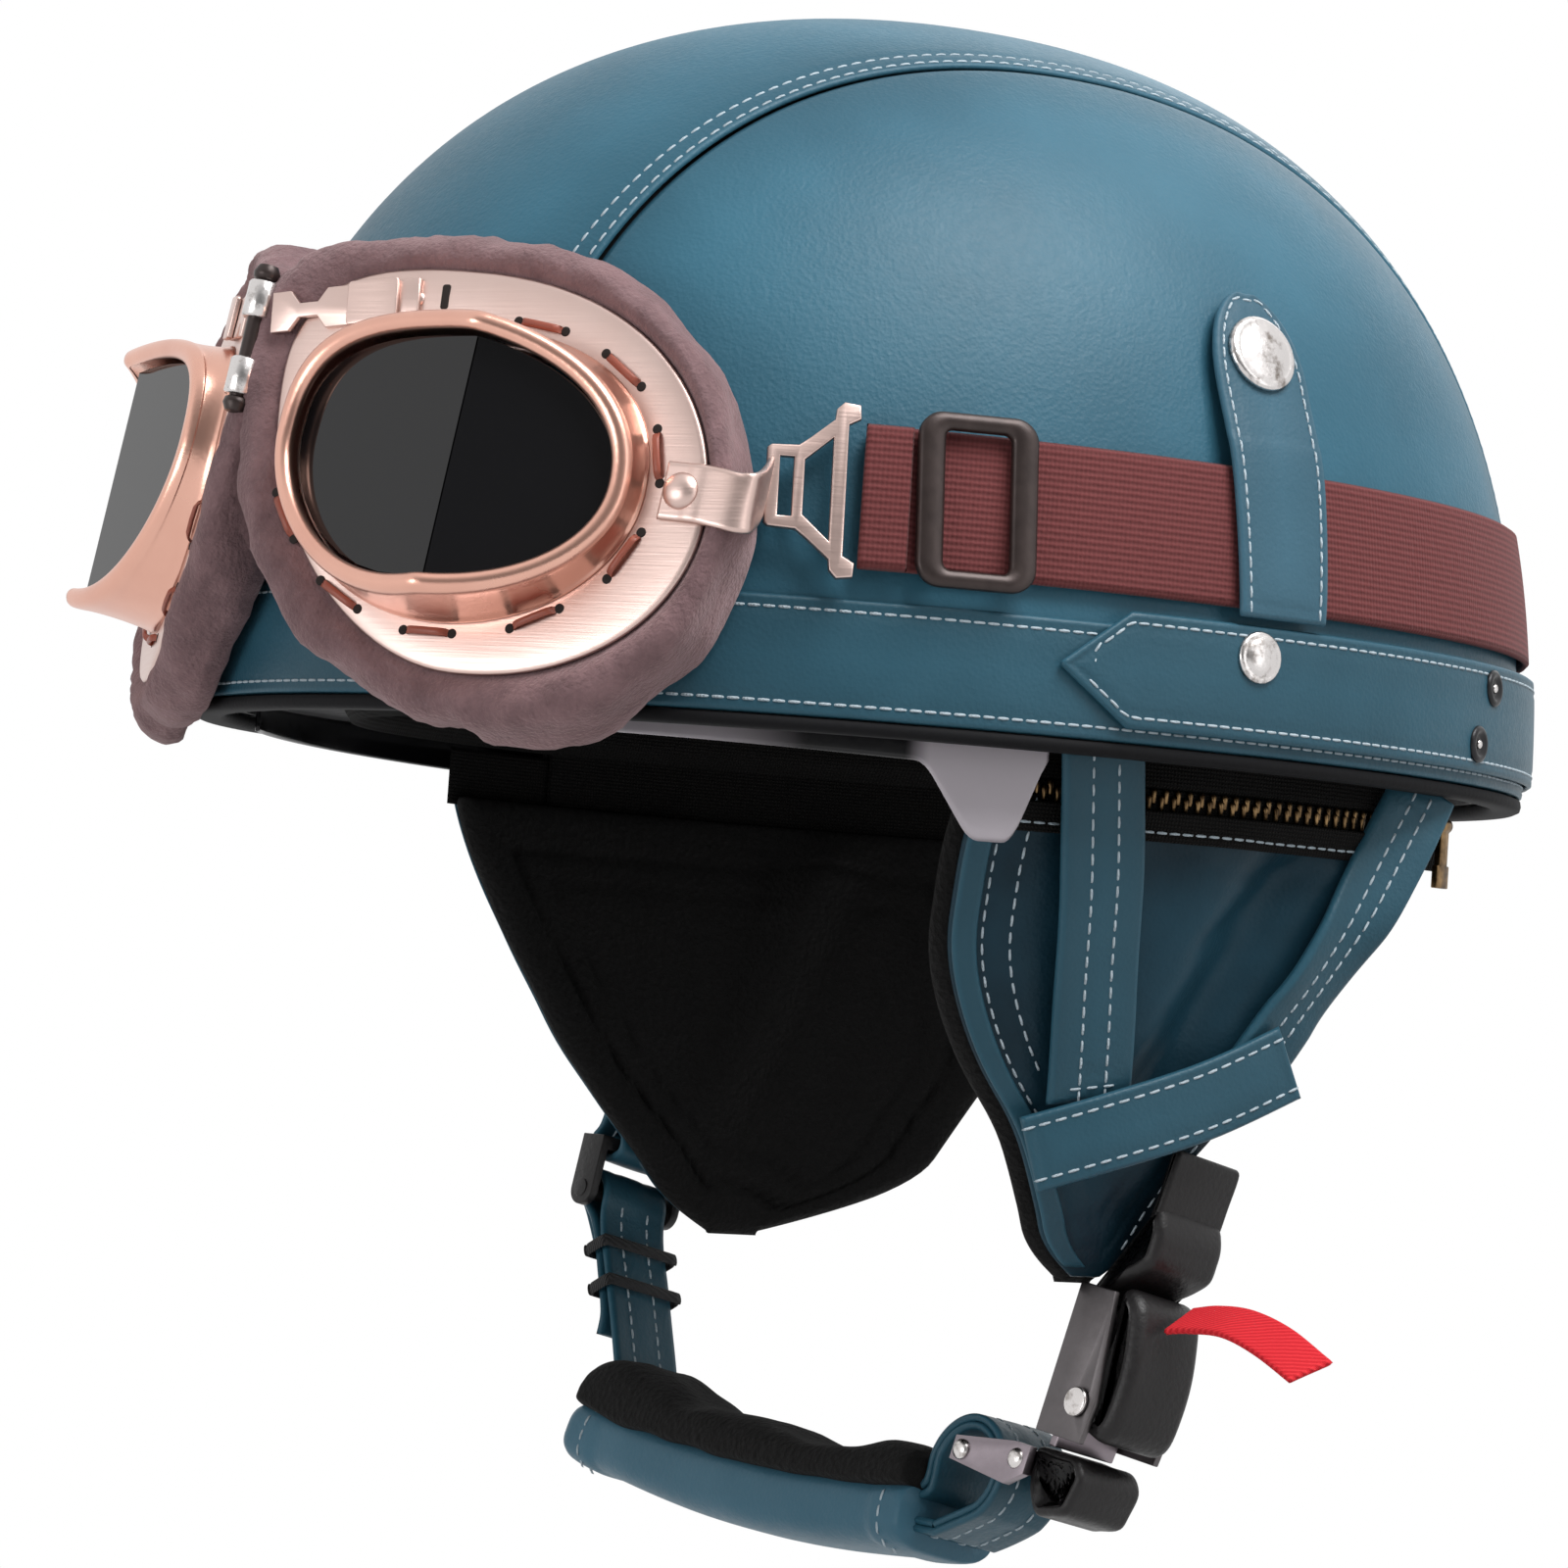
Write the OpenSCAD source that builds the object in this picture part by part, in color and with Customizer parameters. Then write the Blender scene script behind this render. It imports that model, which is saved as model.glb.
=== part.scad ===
// Half-shell motorcycle helmet in stitched leather, with goggles and a buckled chin strap.
// Frame: front is -Y, the wearer's left is +X, up is +Z; the origin is the centre of the
// rim plane, where the wearer's head goes in. Millimetres.

/* [Helmet shell] */
// Width over the leather at the rim
dome_w = 232; // [200:1:260]
// Length over the leather at the rim
dome_l = 276; // [240:1:310]
// Height of the crown above the rim
dome_h = 149; // [120:1:180]
// Squareness of the plan (2 is an ellipse)
plan_p = 2.1; // [2:0.05:2.6]
// Squareness of the profile (2 is an ellipse)
prof_q = 2.35; // [2:0.05:2.8]
// Leather cover thickness
leather_t = 1.4; // [0.8:0.1:2.5]
// Hard shell thickness
shell_t = 4; // [2.5:0.5:6]
// Foam liner thickness
eps_t = 20; // [12:1:30]
// Comfort padding thickness
pad_lining_t = 6; // [3:0.5:10]
// Distance of the crown seams from the middle
seam_x = 60; // [40:1:80]

/* [Rim] */
// Height of the rim band
rim_h = 22; // [14:1:30]
// Thickness of rim and rear bands
band_t = 1.2; // [0.8:0.1:2]
// Lower edge of the rear band
rear_band_z = 2.5; // [1:0.5:6]
// Where the rear band's pointed tips end
rear_band_tip_y = -26; // [-60:1:0]
// Length of the pointed tips
rear_band_point = 14; // [6:1:24]
// Diameter of the rivet heads
rivet_d = 10; // [6:0.5:14]
// Depth of the rubber edge trim
trim_h = 2.8; // [1.5:0.1:5]

/* [Keeper tabs] */
// Middle of the keeper tabs, front to back
keeper_y = 21; // [0:1:50]
// Width of a keeper tab
keeper_w = 24; // [16:1:34]
// Height of the pointed tip of a keeper tab
keeper_top = 89; // [70:1:110]
// Height of the snap
snap_z = 76; // [60:1:95]
// Diameter of the snap cap
snap_d = 15.5; // [10:0.5:20]
// Thickness of the keeper leather
keeper_t = 1.8; // [1:0.1:3]

/* [Goggle strap] */
// Width of the elastic strap
strap_w = 27; // [18:1:35]
// Height of the middle of the strap
strap_z = 41; // [34:1:60]
// Thickness of the strap
strap_t = 1.6; // [1:0.1:3]
// How far round the helmet the slider sits behind the hook, degrees
slider_turn = 11.4; // [9:0.1:16]
// Length of the slider along the strap
slider_l = 23; // [16:1:30]
// Width of the slider's bars
slider_bar = 5; // [3:0.5:7]
// Where the hook's upright bar stands with the goggles straight, degrees round the helmet
hook_turn = -41.5; // [-46:0.5:-36]
// Length of the hook from bar to nose
hook_l = 15; // [10:1:22]

/* [Goggles] */
// Turn of the goggles round the helmet, to the wearer's left
goggle_yaw = 8.5; // [-12:0.5:12]
// Distance of an eyecup's middle from the bridge
cup_x = 51.8; // [48:0.1:56]
// How far the eyecups stand in front of the helmet
cup_stand = 10.5; // [9:0.5:14]
// Height of the eyecups
cup_z = 40.5; // [34:0.5:60]
// Outward turn of each eyecup
cup_splay = 25.5; // [15:0.5:30]
// Backward lean of the goggles against the helmet's slope
cup_lean = 10.5; // [4:0.5:14]
// Width of the eyecup flange
flange_w = 93; // [86:1:100]
// Height of the eyecup flange
flange_h = 76; // [70:1:84]
// Thickness of the flange
flange_t = 1.2; // [0.8:0.1:2]
// Width of the lens opening
lens_w = 68; // [60:1:70]
// Height of the lens opening
lens_h = 46; // [40:1:50]
// How far the lens sits towards the nose of the flange's middle
lens_shift = 5; // [4:0.5:6]
// Thickness of the lens panes
lens_t = 1.8; // [1:0.1:3]
// Where the crease between the two panes stands
crease_x = 6.5; // [2:0.5:12]
// Bezel height at the nose side
bezel_nose = 6.5; // [4:0.5:10]
// Bezel height at the crease
bezel_crease = 18.5; // [12:0.5:20]
// Bezel height at the outer side
bezel_outer = 6; // [4:0.5:12]
// How far the pad stands out round the flange
pad_out = 10.5; // [6:0.5:12]
// Number of lacing stitches on each flange
lace_n = 9; // [6:1:14]

/* [Ear flaps] */
// Radius of the zip's run, seen from above
zip_r = 150; // [120:1:180]
// Front end of the zip
zip_y0 = -28; // [-36:1:-20]
// Rear end of the zip
zip_y1 = 86; // [80:1:88]
// Rear end of the flaps' top edge
flap_y1 = 72; // [64:1:76]
// Height of the zip under the rim
zip_z = -9; // [-14:0.5:-7]
// Pitch of the zip teeth
tooth_pitch = 2.7; // [2:0.1:4]
// Lowest edge of the flaps
flap_z = -101; // [-104:1:-90]
// Inward lean of the flaps, mm per mm of drop
flap_lean = 0.27; // [0.15:0.01:0.32]
// Thickness of the flap leather
flap_t = 1.8; // [1:0.1:3]
// Thickness of the flap lining
lining_t = 6; // [3:0.5:9]
// Width of the harness straps
harness_w = 18; // [12:1:24]
// Thickness of the harness straps
harness_t = 2.4; // [1.5:0.1:4]

/* [Chin strap] */
// Turn of the chin strap's plane about the vertical
chin_yaw = 11; // [0:1:20]
// Forward rake of the chin strap's plane
chin_rake = 12; // [0:1:20]
// Width of the chin strap
chin_w = 18; // [14:1:24]
// Thickness of the chin strap
chin_t = 3; // [2:0.5:4]
// Reach from the strap pivot to the buckle
reach = 167.7; // [160:0.1:175]
// Width of the chin pad
chin_pad_w = 28; // [24:1:36]
// Thickness of the fleece on the chin pad
fleece_t = 10; // [6:0.5:14]
// Thickness of the leather roll under it
roll_t = 14; // [8:0.5:18]

/* [Buckle] */
// Width over the buckle's side plates
buckle_w = 22; // [18:0.5:28]
// Thickness of the buckle's plates
plate_t = 1.4; // [1:0.1:2]
// Radius of the lever pin
pin_r = 1.5; // [1:0.1:2.5]
// Thickness of the tongue
tongue_t = 2; // [1.5:0.1:3]
// Length of the red pull tab
tab_l = 46; // [25:1:55]

/* [Hidden] */
$fn = 48;
// running clearance of pins in their bores, and plain gap between pieces
run = 0.05;
gap = 0.4;
// layer faces, counted outwards from the leather's outer face
shell_o = -leather_t - 0.6;
shell_i = shell_o - shell_t;
eps_o = shell_i - gap;
eps_i = eps_o - eps_t;
lin_o = eps_i - gap;
lin_i = lin_o - pad_lining_t;
rim_o = 0.5 + band_t;
rear_i = rim_o + 0.5;
rear_o = rear_i + band_t;
strap_i = 1.2;
strap_o = strap_i + strap_t;
over_i = strap_o + gap;
ha = dome_l / 2;
hb = dome_w / 2;
eps_z = 2;
rear_band_top = rim_h + rear_band_z;

function pw(v, e) = (v < 0 ? -1 : 1) * pow(abs(v), e);
function clamp(v, a, b) = max(a, min(b, v));
function mix(a, b, f) = a + (b - a) * f;
function unit(v) = v / norm(v);
// straight-line reading of a list of [key, value] points
function read(list, k) = k <= list[0][0] ? list[0][1] : k >= list[len(list) - 1][0] ? list[len(list) - 1][1] :
    [for (i = [0:len(list) - 2]) if (k >= list[i][0] && k <= list[i + 1][0])
        mix(list[i][1], list[i + 1][1], (k - list[i][0]) / (list[i + 1][0] - list[i][0]))][0];
// dome: plan angle th, height z, grown outwards by off
function plan_pt(off, th, r = 1) = [(hb + off) * r * pw(cos(th), 2 / plan_p), (ha + off) * r * pw(sin(th), 2 / plan_p)];
function shrink(off, z) = z <= 0 ? 1 : pow(max(0, 1 - pow(z / (dome_h + off), prof_q)), 1 / prof_q);
function dome_pt(off, th, z) = let (p = plan_pt(off, th, shrink(off, z))) [p[0], p[1], z];
// plan angle at a fore-and-aft place y on the wearer's left
function th_y(y) = asin(pw(y / ha, plan_p / 2));
// fore-and-aft place, on the wearer's left, of the plan angle seen from the middle at strap height
function y_turn(a) = sin(a) / pow(pow(cos(a) / hb, plan_p) + pow(abs(sin(a)) / ha, plan_p), 1 / plan_p);
// above 1 outside the dome grown by off, below 1 inside it
function dome_f(p, off) = pow(pow(abs(p[0]) / (hb + off), plan_p) + pow(abs(p[1]) / (ha + off), plan_p), prof_q / plan_p)
    + pow(max(p[2], 0) / (dome_h + off), prof_q);
function dome_n(p) = let (e = 0.05) unit([for (i = [0:2]) let (d = [for (j = [0:2]) j == i ? e : 0])
    dome_f(p + d, 0) - dome_f(p - d, 0)]);

// solid between two matching grids of points, o outside and i inside; columns run to the right seen from outside
module skin(o, i, ring = false, cap = []) {
    nr = len(o);
    nc = len(o[0]);
    n = nr * nc;
    last = ring ? nc - 1 : nc - 2;
    at = [for (r = [0:nr - 1]) [for (c = [0:nc]) r * nc + c % nc]];
    walls = [for (r = [0:nr - 2], c = [0:last]) each [
        [at[r][c], at[r + 1][c], at[r + 1][c + 1]], [at[r][c], at[r + 1][c + 1], at[r][c + 1]],
        [n + at[r][c], n + at[r + 1][c + 1], n + at[r + 1][c]], [n + at[r][c], n + at[r][c + 1], n + at[r + 1][c + 1]]]];
    foot = [for (c = [0:last]) each [
        [at[0][c], at[0][c + 1], n + at[0][c + 1]], [at[0][c], n + at[0][c + 1], n + at[0][c]]]];
    t = nr - 1;
    head = cap == [] ? [for (c = [0:last]) each [
        [at[t][c + 1], at[t][c], n + at[t][c]], [at[t][c + 1], n + at[t][c], n + at[t][c + 1]]]]
        : [for (c = [0:last]) each [[at[t][c + 1], at[t][c], 2 * n], [n + at[t][c], n + at[t][c + 1], 2 * n + 1]]];
    e = nc - 1;
    sides = ring ? [] : [for (r = [0:nr - 2]) each [
        [at[r + 1][0], at[r][0], n + at[r][0]], [at[r + 1][0], n + at[r][0], n + at[r + 1][0]],
        [at[r][e], at[r + 1][e], n + at[r + 1][e]], [at[r][e], n + at[r + 1][e], n + at[r][e]]]];
    polyhedron(concat([for (r = o) each r], [for (r = i) each r], cap), concat(walls, foot, head, sides), convexity = 6);
}

// solid swept through matching closed sections; each runs clockwise seen along the path
module sweep(s, closed = false) {
    nk = len(s);
    nj = len(s[0]);
    at = [for (k = [0:nk]) [for (j = [0:nj]) (k % nk) * nj + j % nj]];
    walls = [for (k = [0:closed ? nk - 1 : nk - 2], j = [0:nj - 1]) each [
        [at[k][j], at[k + 1][j], at[k + 1][j + 1]], [at[k][j], at[k + 1][j + 1], at[k][j + 1]]]];
    ends = closed ? [] : [[for (j = [0:nj - 1]) j], [for (j = [0:nj - 1]) nk * nj - 1 - j]];
    polyhedron([for (k = s) each k], concat(walls, ends), convexity = 6);
}

// flat strap through the points, w wide along the direction wv
module ribbon(pts, wv, w, t) {
    n = len(pts);
    sweep([for (k = [0:n - 1]) let (
        d = unit(pts[min(k + 1, n - 1)] - pts[max(k - 1, 0)]),
        a = unit(wv - (wv * d) * d) * w / 2,
        b = unit(cross(d, a)) * t / 2) [pts[k] - a - b, pts[k] + a - b, pts[k] + a + b, pts[k] - a + b]]);
}

// puts children on the dome, their Z along its outward normal and their Y along the rim
module on_dome(th, z, off) {
    p = dome_pt(0, th, z);
    n = dome_n(p);
    translate(p + off * n)
        rotate([0, 90 - asin(n[2]), atan2(n[1], n[0])])
            children();
}

module both() {
    children();
    mirror([1, 0, 0])
        children();
}

// a side of the helmet: 1 the wearer's left, -1 the right
module side(s) {
    if (s > 0)
        children();
    else
        mirror([1, 0, 0])
            children();
}

module button(d, h) {
    cylinder(d = d, h = h * 0.4);
    translate([0, 0, h * 0.4])
        cylinder(d1 = d, d2 = d * 0.72, h = h * 0.6);
}

// closed dome wall between two growths, open at the rim
module dome_wall(o, i, z0) {
    n = 40;
    m = 9;
    zs = [for (k = [0:m - 1]) sin(84 * k / (m - 1))];
    rows = function (off) [for (f = zs) [for (c = [0:n - 1]) dome_pt(off, 360 * c / n, z0 + (dome_h + off - z0) * f * 0.9999)]];
    skin(rows(o), rows(i), ring = true, cap = [[0, 0, dome_h + o], [0, 0, dome_h + i]]);
}

// band round the rim between plan angles, low and high edges given by functions of the angle
module band(o, i, th0, th1, n, m, lo, hi, ring = false) {
    a = [for (c = [0:n - (ring ? 1 : 0)]) mix(th0, th1, c / n)];
    rows = function (off) [for (r = [0:m]) [for (t = a) dome_pt(off, t, mix(lo(t), hi(t), r / m))]];
    skin(rows(o), rows(i), ring = ring);
}

// Shell, liner and leather

module shell() {
    color([0.12, 0.12, 0.13])
        dome_wall(shell_o, shell_i, 0);
}

module eps_liner() {
    color([0.2, 0.2, 0.21])
        dome_wall(eps_o, eps_i, eps_z);
}

module comfort_liner() {
    color([0.05, 0.05, 0.05])
        dome_wall(lin_o, lin_i, -1.5);
}

// leather panel between two fore-and-aft sections of the dome
function sect(off, x, n) = let (
    k = pow(abs(x) / (hb + off), plan_p),
    top = (dome_h + off) * pow(1 - pow(k, prof_q / plan_p), 1 / prof_q))
    [for (c = [0:n]) let (f = 180 * c / n, z = c == 0 || c == n ? 0 : top * sin(f),
        y = pow(max(0, pow(1 - pow(z / (dome_h + off), prof_q), plan_p / prof_q) - k), 1 / plan_p))
        [x, (f < 90 ? -1 : 1) * (ha + off) * y, z]];

module leather_crown() {
    rows = function (off) [for (r = [4:-1:-4]) sect(off, (seam_x - 0.3) * r / 4, 26)];
    color([0.26, 0.41, 0.5])
        skin(rows(0), rows(-leather_t));
}

module leather_sides() {
    rows = function (off) [for (r = [7:-1:0]) sect(off, mix(seam_x + 0.3, hb + off, sin(87.4 * r / 7)), 26)];
    color([0.26, 0.41, 0.5])
        both()
            skin(rows(0), rows(-leather_t));
}

// Rim

module rim_trim() {
    lo = function (t) -trim_h;
    hi = function (t) -0.2;
    color([0.06, 0.06, 0.06])
        band(rim_o, shell_i + 1, 0, 360, 56, 1, lo, hi, true);
}

module rim_band() {
    lo = function (t) 0;
    hi = function (t) rim_h;
    color([0.25, 0.38, 0.47])
        band(rim_o, 0.5, 0, 360, 56, 2, lo, hi, true);
}

module rear_band() {
    tip = th_y(rear_band_tip_y);
    full = th_y(rear_band_tip_y + rear_band_point);
    mid = rear_band_z + rim_h / 2;
    half = function (t) mix(0.3, rim_h / 2, clamp((min(t, 180 - t) - tip) / (full - tip), 0, 1));
    lo = function (t) mid - half(t);
    hi = function (t) mid + half(t);
    color([0.25, 0.38, 0.47])
        band(rear_o, rear_i, tip, 180 - tip, 60, 2, lo, hi);
}

module band_rivets() {
    color([0.75, 0.75, 0.76])
        both() {
            on_dome(th_y(keeper_y - 5), 18.3, rear_o + 0.2)
                button(rivet_d, 2.2);
            on_dome(th_y(80), 8, rear_o + 0.2)
                button(rivet_d * 0.7, 2);
            on_dome(th_y(86), 19.5, rear_o + 0.2)
                button(rivet_d * 0.7, 2);
        }
}

module snap_studs() {
    color([0.7, 0.7, 0.7])
        both()
            on_dome(th_y(keeper_y), snap_z, 0.15)
                button(9, 1.6);
}

// clear plastic strip that holds the lining in at the front corners
module edge_strips() {
    low = [[-125, -4], [-48, -6], [-38, -20], [-29, -20], [-22, -3]];
    ys = [for (c = [0:18]) mix(-122, -22, c / 18)];
    rows = function (off) [for (r = [0:1]) [for (y = ys) dome_pt(off, th_y(y), r == 0 ? read(low, y) : eps_z - gap)]];
    color([0.75, 0.76, 0.8, 0.6])
        both()
            skin(rows(shell_i - 3.2), rows(shell_i - 4.2));
}

// Keeper tabs

hinge_off = rear_o + 0.9;
hinge_z = rear_band_top + 1.3;
keeper_zs = [[hinge_z, hinge_off], [strap_z - strap_w / 2, over_i + keeper_t / 2 + 0.2],
    [strap_z + strap_w / 2 + 1, over_i + keeper_t / 2 + 0.2], [snap_z - 11, 3], [keeper_top, 2.6]];

module keeper_tab(s) {
    n = 14;
    zs = [for (k = [0:n]) mix(hinge_z, keeper_top, k / n)];
    half = function (z) keeper_w / 2 * (z < snap_z - 4 ? 1 : sqrt(max(0.02, 1 - pow((z - snap_z + 4) / (keeper_top - snap_z + 4), 2))));
    rows = function (e) [for (z = zs) [for (c = [-2:2])
        dome_pt(read(keeper_zs, z) + e, th_y(keeper_y + half(z) * c / 2), z)]];
    color([0.35, 0.45, 0.53])
        side(s) {
            skin(rows(keeper_t / 2), rows(-keeper_t / 2));
            keeper_axis()
                cylinder(r = 1.1, h = keeper_w - 1, center = true);
        }
}

// line of the folded foot on which a keeper tab swings
module keeper_axis() {
    p = dome_pt(hinge_off, th_y(keeper_y), hinge_z);
    n = dome_n(p);
    translate(p)
        rotate([0, 0, atan2(n[1], n[0])])
            rotate([90, 0, 0])
                children();
}

module snap_cap(s) {
    color([0.8, 0.8, 0.8])
        side(s)
            on_dome(th_y(keeper_y), snap_z, read(keeper_zs, snap_z) + keeper_t / 2 + 0.45) {
                cylinder(d = snap_d, h = 1.1);
                translate([0, 0, 1.1])
                    intersection() {
                        translate([0, 0, 1.8 - snap_d * 1.1])
                            sphere(r = snap_d * 1.1);
                        cylinder(d = snap_d, h = 3);
                    }
            }
}

// Goggle strap

function hook_y(s) = y_turn(hook_turn + s * goggle_yaw);
// where the strap starts behind the hook's bar
function strap_start(s) = hook_y(s) + 3.7 * cos(hook_turn + s * goggle_yaw);
function slider_y(s) = y_turn(hook_turn + slider_turn + s * goggle_yaw);
function strap_rows(off, ys, w) = [for (r = [0:1]) [for (y = ys) dome_pt(off, th_y(y), strap_z + (r - 0.5) * w)]];

module strap_rear() {
    lo = function (t) strap_z - strap_w / 2;
    hi = function (t) strap_z + strap_w / 2;
    start = th_y(keeper_y + gap);
    color([0.43, 0.25, 0.25])
        band(strap_o, strap_i, start, 180 - start, 36, 2, lo, hi);
}

module strap_front(s) {
    ys = [for (c = [0:14]) mix(strap_start(s), keeper_y - gap, c / 14)];
    color([0.43, 0.25, 0.25])
        side(s)
            skin(strap_rows(strap_o, ys, strap_w), strap_rows(strap_i, ys, strap_w));
}

// folded ends of the strap, from each hook's bar back to the slider
module strap_loops() {
    color([0.43, 0.25, 0.25])
        for (s = [-1, 1]) {
            ys = [for (c = [0:5]) mix(strap_start(s), slider_y(s) - slider_l / 2 - gap, c / 5)];
            side(s)
                skin(strap_rows(over_i + strap_t, ys, strap_w), strap_rows(over_i, ys, strap_w));
        }
}

module strap_slider(s) {
    h = strap_w + 6;
    color([0.2, 0.15, 0.14])
        side(s)
            on_dome(th_y(slider_y(s)), strap_z, over_i + 0.1)
                difference() {
                    translate([-h / 2, -slider_l / 2, 0])
                        cube([h, slider_l, 2]);
                    translate([-strap_w / 2, slider_bar - slider_l / 2, -1])
                        cube([strap_w, slider_l - 2 * slider_bar, 4]);
                }
}

// trapezoid ring between strap and goggles
module hook(s) {
    bar = strap_w + 4;
    nose = 15;
    window = [[-bar / 2 + 5, 3], [bar / 2 - 5, 3], [nose / 2 - 4.4, hook_l - 5], [4.4 - nose / 2, hook_l - 5]];
    color([0.8, 0.62, 0.55])
        side(s)
            on_dome(th_y(hook_y(s)), strap_z, over_i)
                mirror([0, 1, 0]) {
                    translate([-bar / 2, 0, 1])
                        rotate([0, 90, 0])
                            cylinder(r = 1.9, h = bar);
                    linear_extrude(2)
                        difference() {
                            polygon([[-bar / 2, 0], [bar / 2, 0], [nose / 2, hook_l], [-nose / 2, hook_l]]);
                            polygon(window);
                        }
                }
}

// Goggles

cup_y = -ha * shrink(0, cup_z) * pow(1 - pow(cup_x / hb / shrink(0, cup_z), plan_p), 1 / plan_p) - cup_stand;
// frame of the goggles, leaning back from the middle of the eyecups
module goggle_frame() {
    rotate([0, 0, goggle_yaw])
        translate([0, cup_y, cup_z])
            rotate([-cup_lean, 0, 0])
                children();
}

// frame of an eyecup: X outwards along the flange, -Y out through the lens
module cup(s) {
    goggle_frame()
        side(s)
            translate([cup_x, 0, 0])
                rotate([0, 0, cup_splay])
                    children();
}

function turn(p, a) = [p[0] * cos(a) - p[1] * sin(a), p[0] * sin(a) + p[1] * cos(a), p[2]];
function leaned(p) = [p[0], p[1] * cos(cup_lean) + p[2] * sin(cup_lean), p[2] * cos(cup_lean) - p[1] * sin(cup_lean)];
function cup_place(p, s) = let (g = leaned(turn(p, cup_splay))) turn([s * (g[0] + cup_x), g[1] + cup_y, g[2] + cup_z], goggle_yaw);
// lens outline, squarer over the nose and with the nose corner raised, as [x, z] at angle a
function oval(a, w, h) = let (c = cos(a), e = sin(a) < 0 ? 1 : c < 0 ? 0.8 : 0.9)
    [w / 2 * pw(c, e), h / 2 * (pw(sin(a), e) + 0.16 * pow(min(c, 0), 2))];
// flange outline round it, longer outwards and raked
function flange_at(a, grow) = let (o = oval(a, 2, flange_h + grow))
    [o[0] * ((flange_w + grow) / 2 + (o[0] > 0 ? lens_shift : -lens_shift)) - lens_shift - 0.18 * o[1], o[1]];
function bezel_h(x) = x < crease_x ? mix(bezel_nose, bezel_crease, (x + lens_w / 2) / (crease_x + lens_w / 2))
    : mix(bezel_crease, bezel_outer, (x - crease_x) / (lens_w / 2 - crease_x));

module lens_place(s) {
    cup(s)
        translate([-lens_shift, 0, -1])
            children();
}

module eyecup(s) {
    n = 56;
    color([0.92, 0.8, 0.77])
        cup(s)
            rotate([90, 0, 0])
                linear_extrude(flange_t)
                    difference() {
                        polygon([for (k = [0:n - 1]) flange_at(360 * k / n, 0)]);
                        translate([-lens_shift, -1])
                            polygon([for (k = [0:n - 1]) oval(360 * k / n, lens_w + 4, lens_h + 4)]);
                        translate([-9.5, flange_h / 2 - 5])
                            square([1.6, 4.5], center = true);
                    }
}

module bezel(s) {
    n = 40;
    wall = function (h) [[9.6, 0.3], [9.4, 0.45 * h], [7.6, h - 0.8], [5.2, h + 0.5], [2.4, h + 0.4], [0.6, h - 0.6], [1.4, h - 2.6], [4.6, 0.3]];
    color([0.71, 0.48, 0.44])
        lens_place(s)
            sweep([for (k = [0:n - 1]) let (a = -360 * k / n, hx = bezel_h(oval(a, lens_w, lens_h)[0]))
                [for (q = wall(hx)) let (p = oval(a, lens_w + q[0], lens_h + q[0])) [p[0], -flange_t - q[1], p[1]]]], true);
}

// flat pane of the lens on one side of the crease
module pane(right) {
    n = 20;
    top = acos(pow(crease_x * 2 / (lens_w - 0.6), 1 / 0.9));
    foot = acos(crease_x * 2 / (lens_w - 0.6));
    a0 = right ? -foot : top;
    a1 = right ? top : 360 - foot;
    pts = [for (k = [0:n]) let (p = oval(mix(a0, a1, k / n), lens_w - 0.6, lens_h - 0.6)) [p[0] + (right ? 0.15 : -0.15), p[1]]];
    front = [for (p = pts) [p[0], -flange_t - bezel_h(p[0]) + 3.2, p[1]]];
    back = [for (p = front) p + [0, lens_t, 0]];
    m = n + 1;
    polyhedron(concat(front, back), concat(
        [[for (k = [0:n]) n - k]], [[for (k = [0:n]) m + k]],
        [for (k = [0:n]) each [[k, (k + 1) % m, m + (k + 1) % m], [k, m + (k + 1) % m, m + k]]]));
}

module lens(s) {
    color([0.15, 0.15, 0.17])
        lens_place(s) {
            pane(false);
            pane(true);
        }
}

// depth from a point behind the flange back to the helmet
pad_clear = 3;
function seek(p, d, s, a, b, n) = n == 0 ? a : let (m = (a + b) / 2)
    dome_f(cup_place(p + m * d, s), pad_clear) > 1 ? seek(p, d, s, m, b, n - 1) : seek(p, d, s, a, m, n - 1);
function inward(x) = let (a = mix(cup_splay, -14, clamp((x + flange_w / 2) / flange_w, 0, 1))) [sin(a), cos(a), 0];
function pad_back(q, s) = let (p = [q[0], 0.5, q[1]], d = inward(q[0])) p + seek(p, d, s, 0.5, 36, 13) * d;

module pad(s) {
    n = 44;
    stand = function (a) let (c = cos(a)) c < 0 ? mix(pad_out * 0.8, 2.6, -c) : mix(pad_out * (sin(a) > 0 ? 0.75 : 1), pad_out * 0.45, c * c);
    color([0.5, 0.38, 0.39])
        cup(s)
            sweep([for (k = [0:n - 1]) let (a = 360 * k / n, e = stand(a),
                f0 = flange_at(a, -24), f1 = flange_at(a, 0), f2 = flange_at(a, 1.3 * e), f3 = flange_at(a, 2 * e),
                b2 = pad_back(f2, s), b0 = pad_back(f0, s), b3 = pad_back(f3, s), d = inward(f3[0]),
                p3 = [f3[0], 0.5, f3[1]])
                [[f0[0], 0.5, f0[1]], [f1[0], 0.5, f1[1]], [f2[0], 0.5, f2[1]] + 1 * d,
                    mix(p3, b3, 0.35), mix(p3, b3, 0.68), b2, b0]], true);
}

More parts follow.
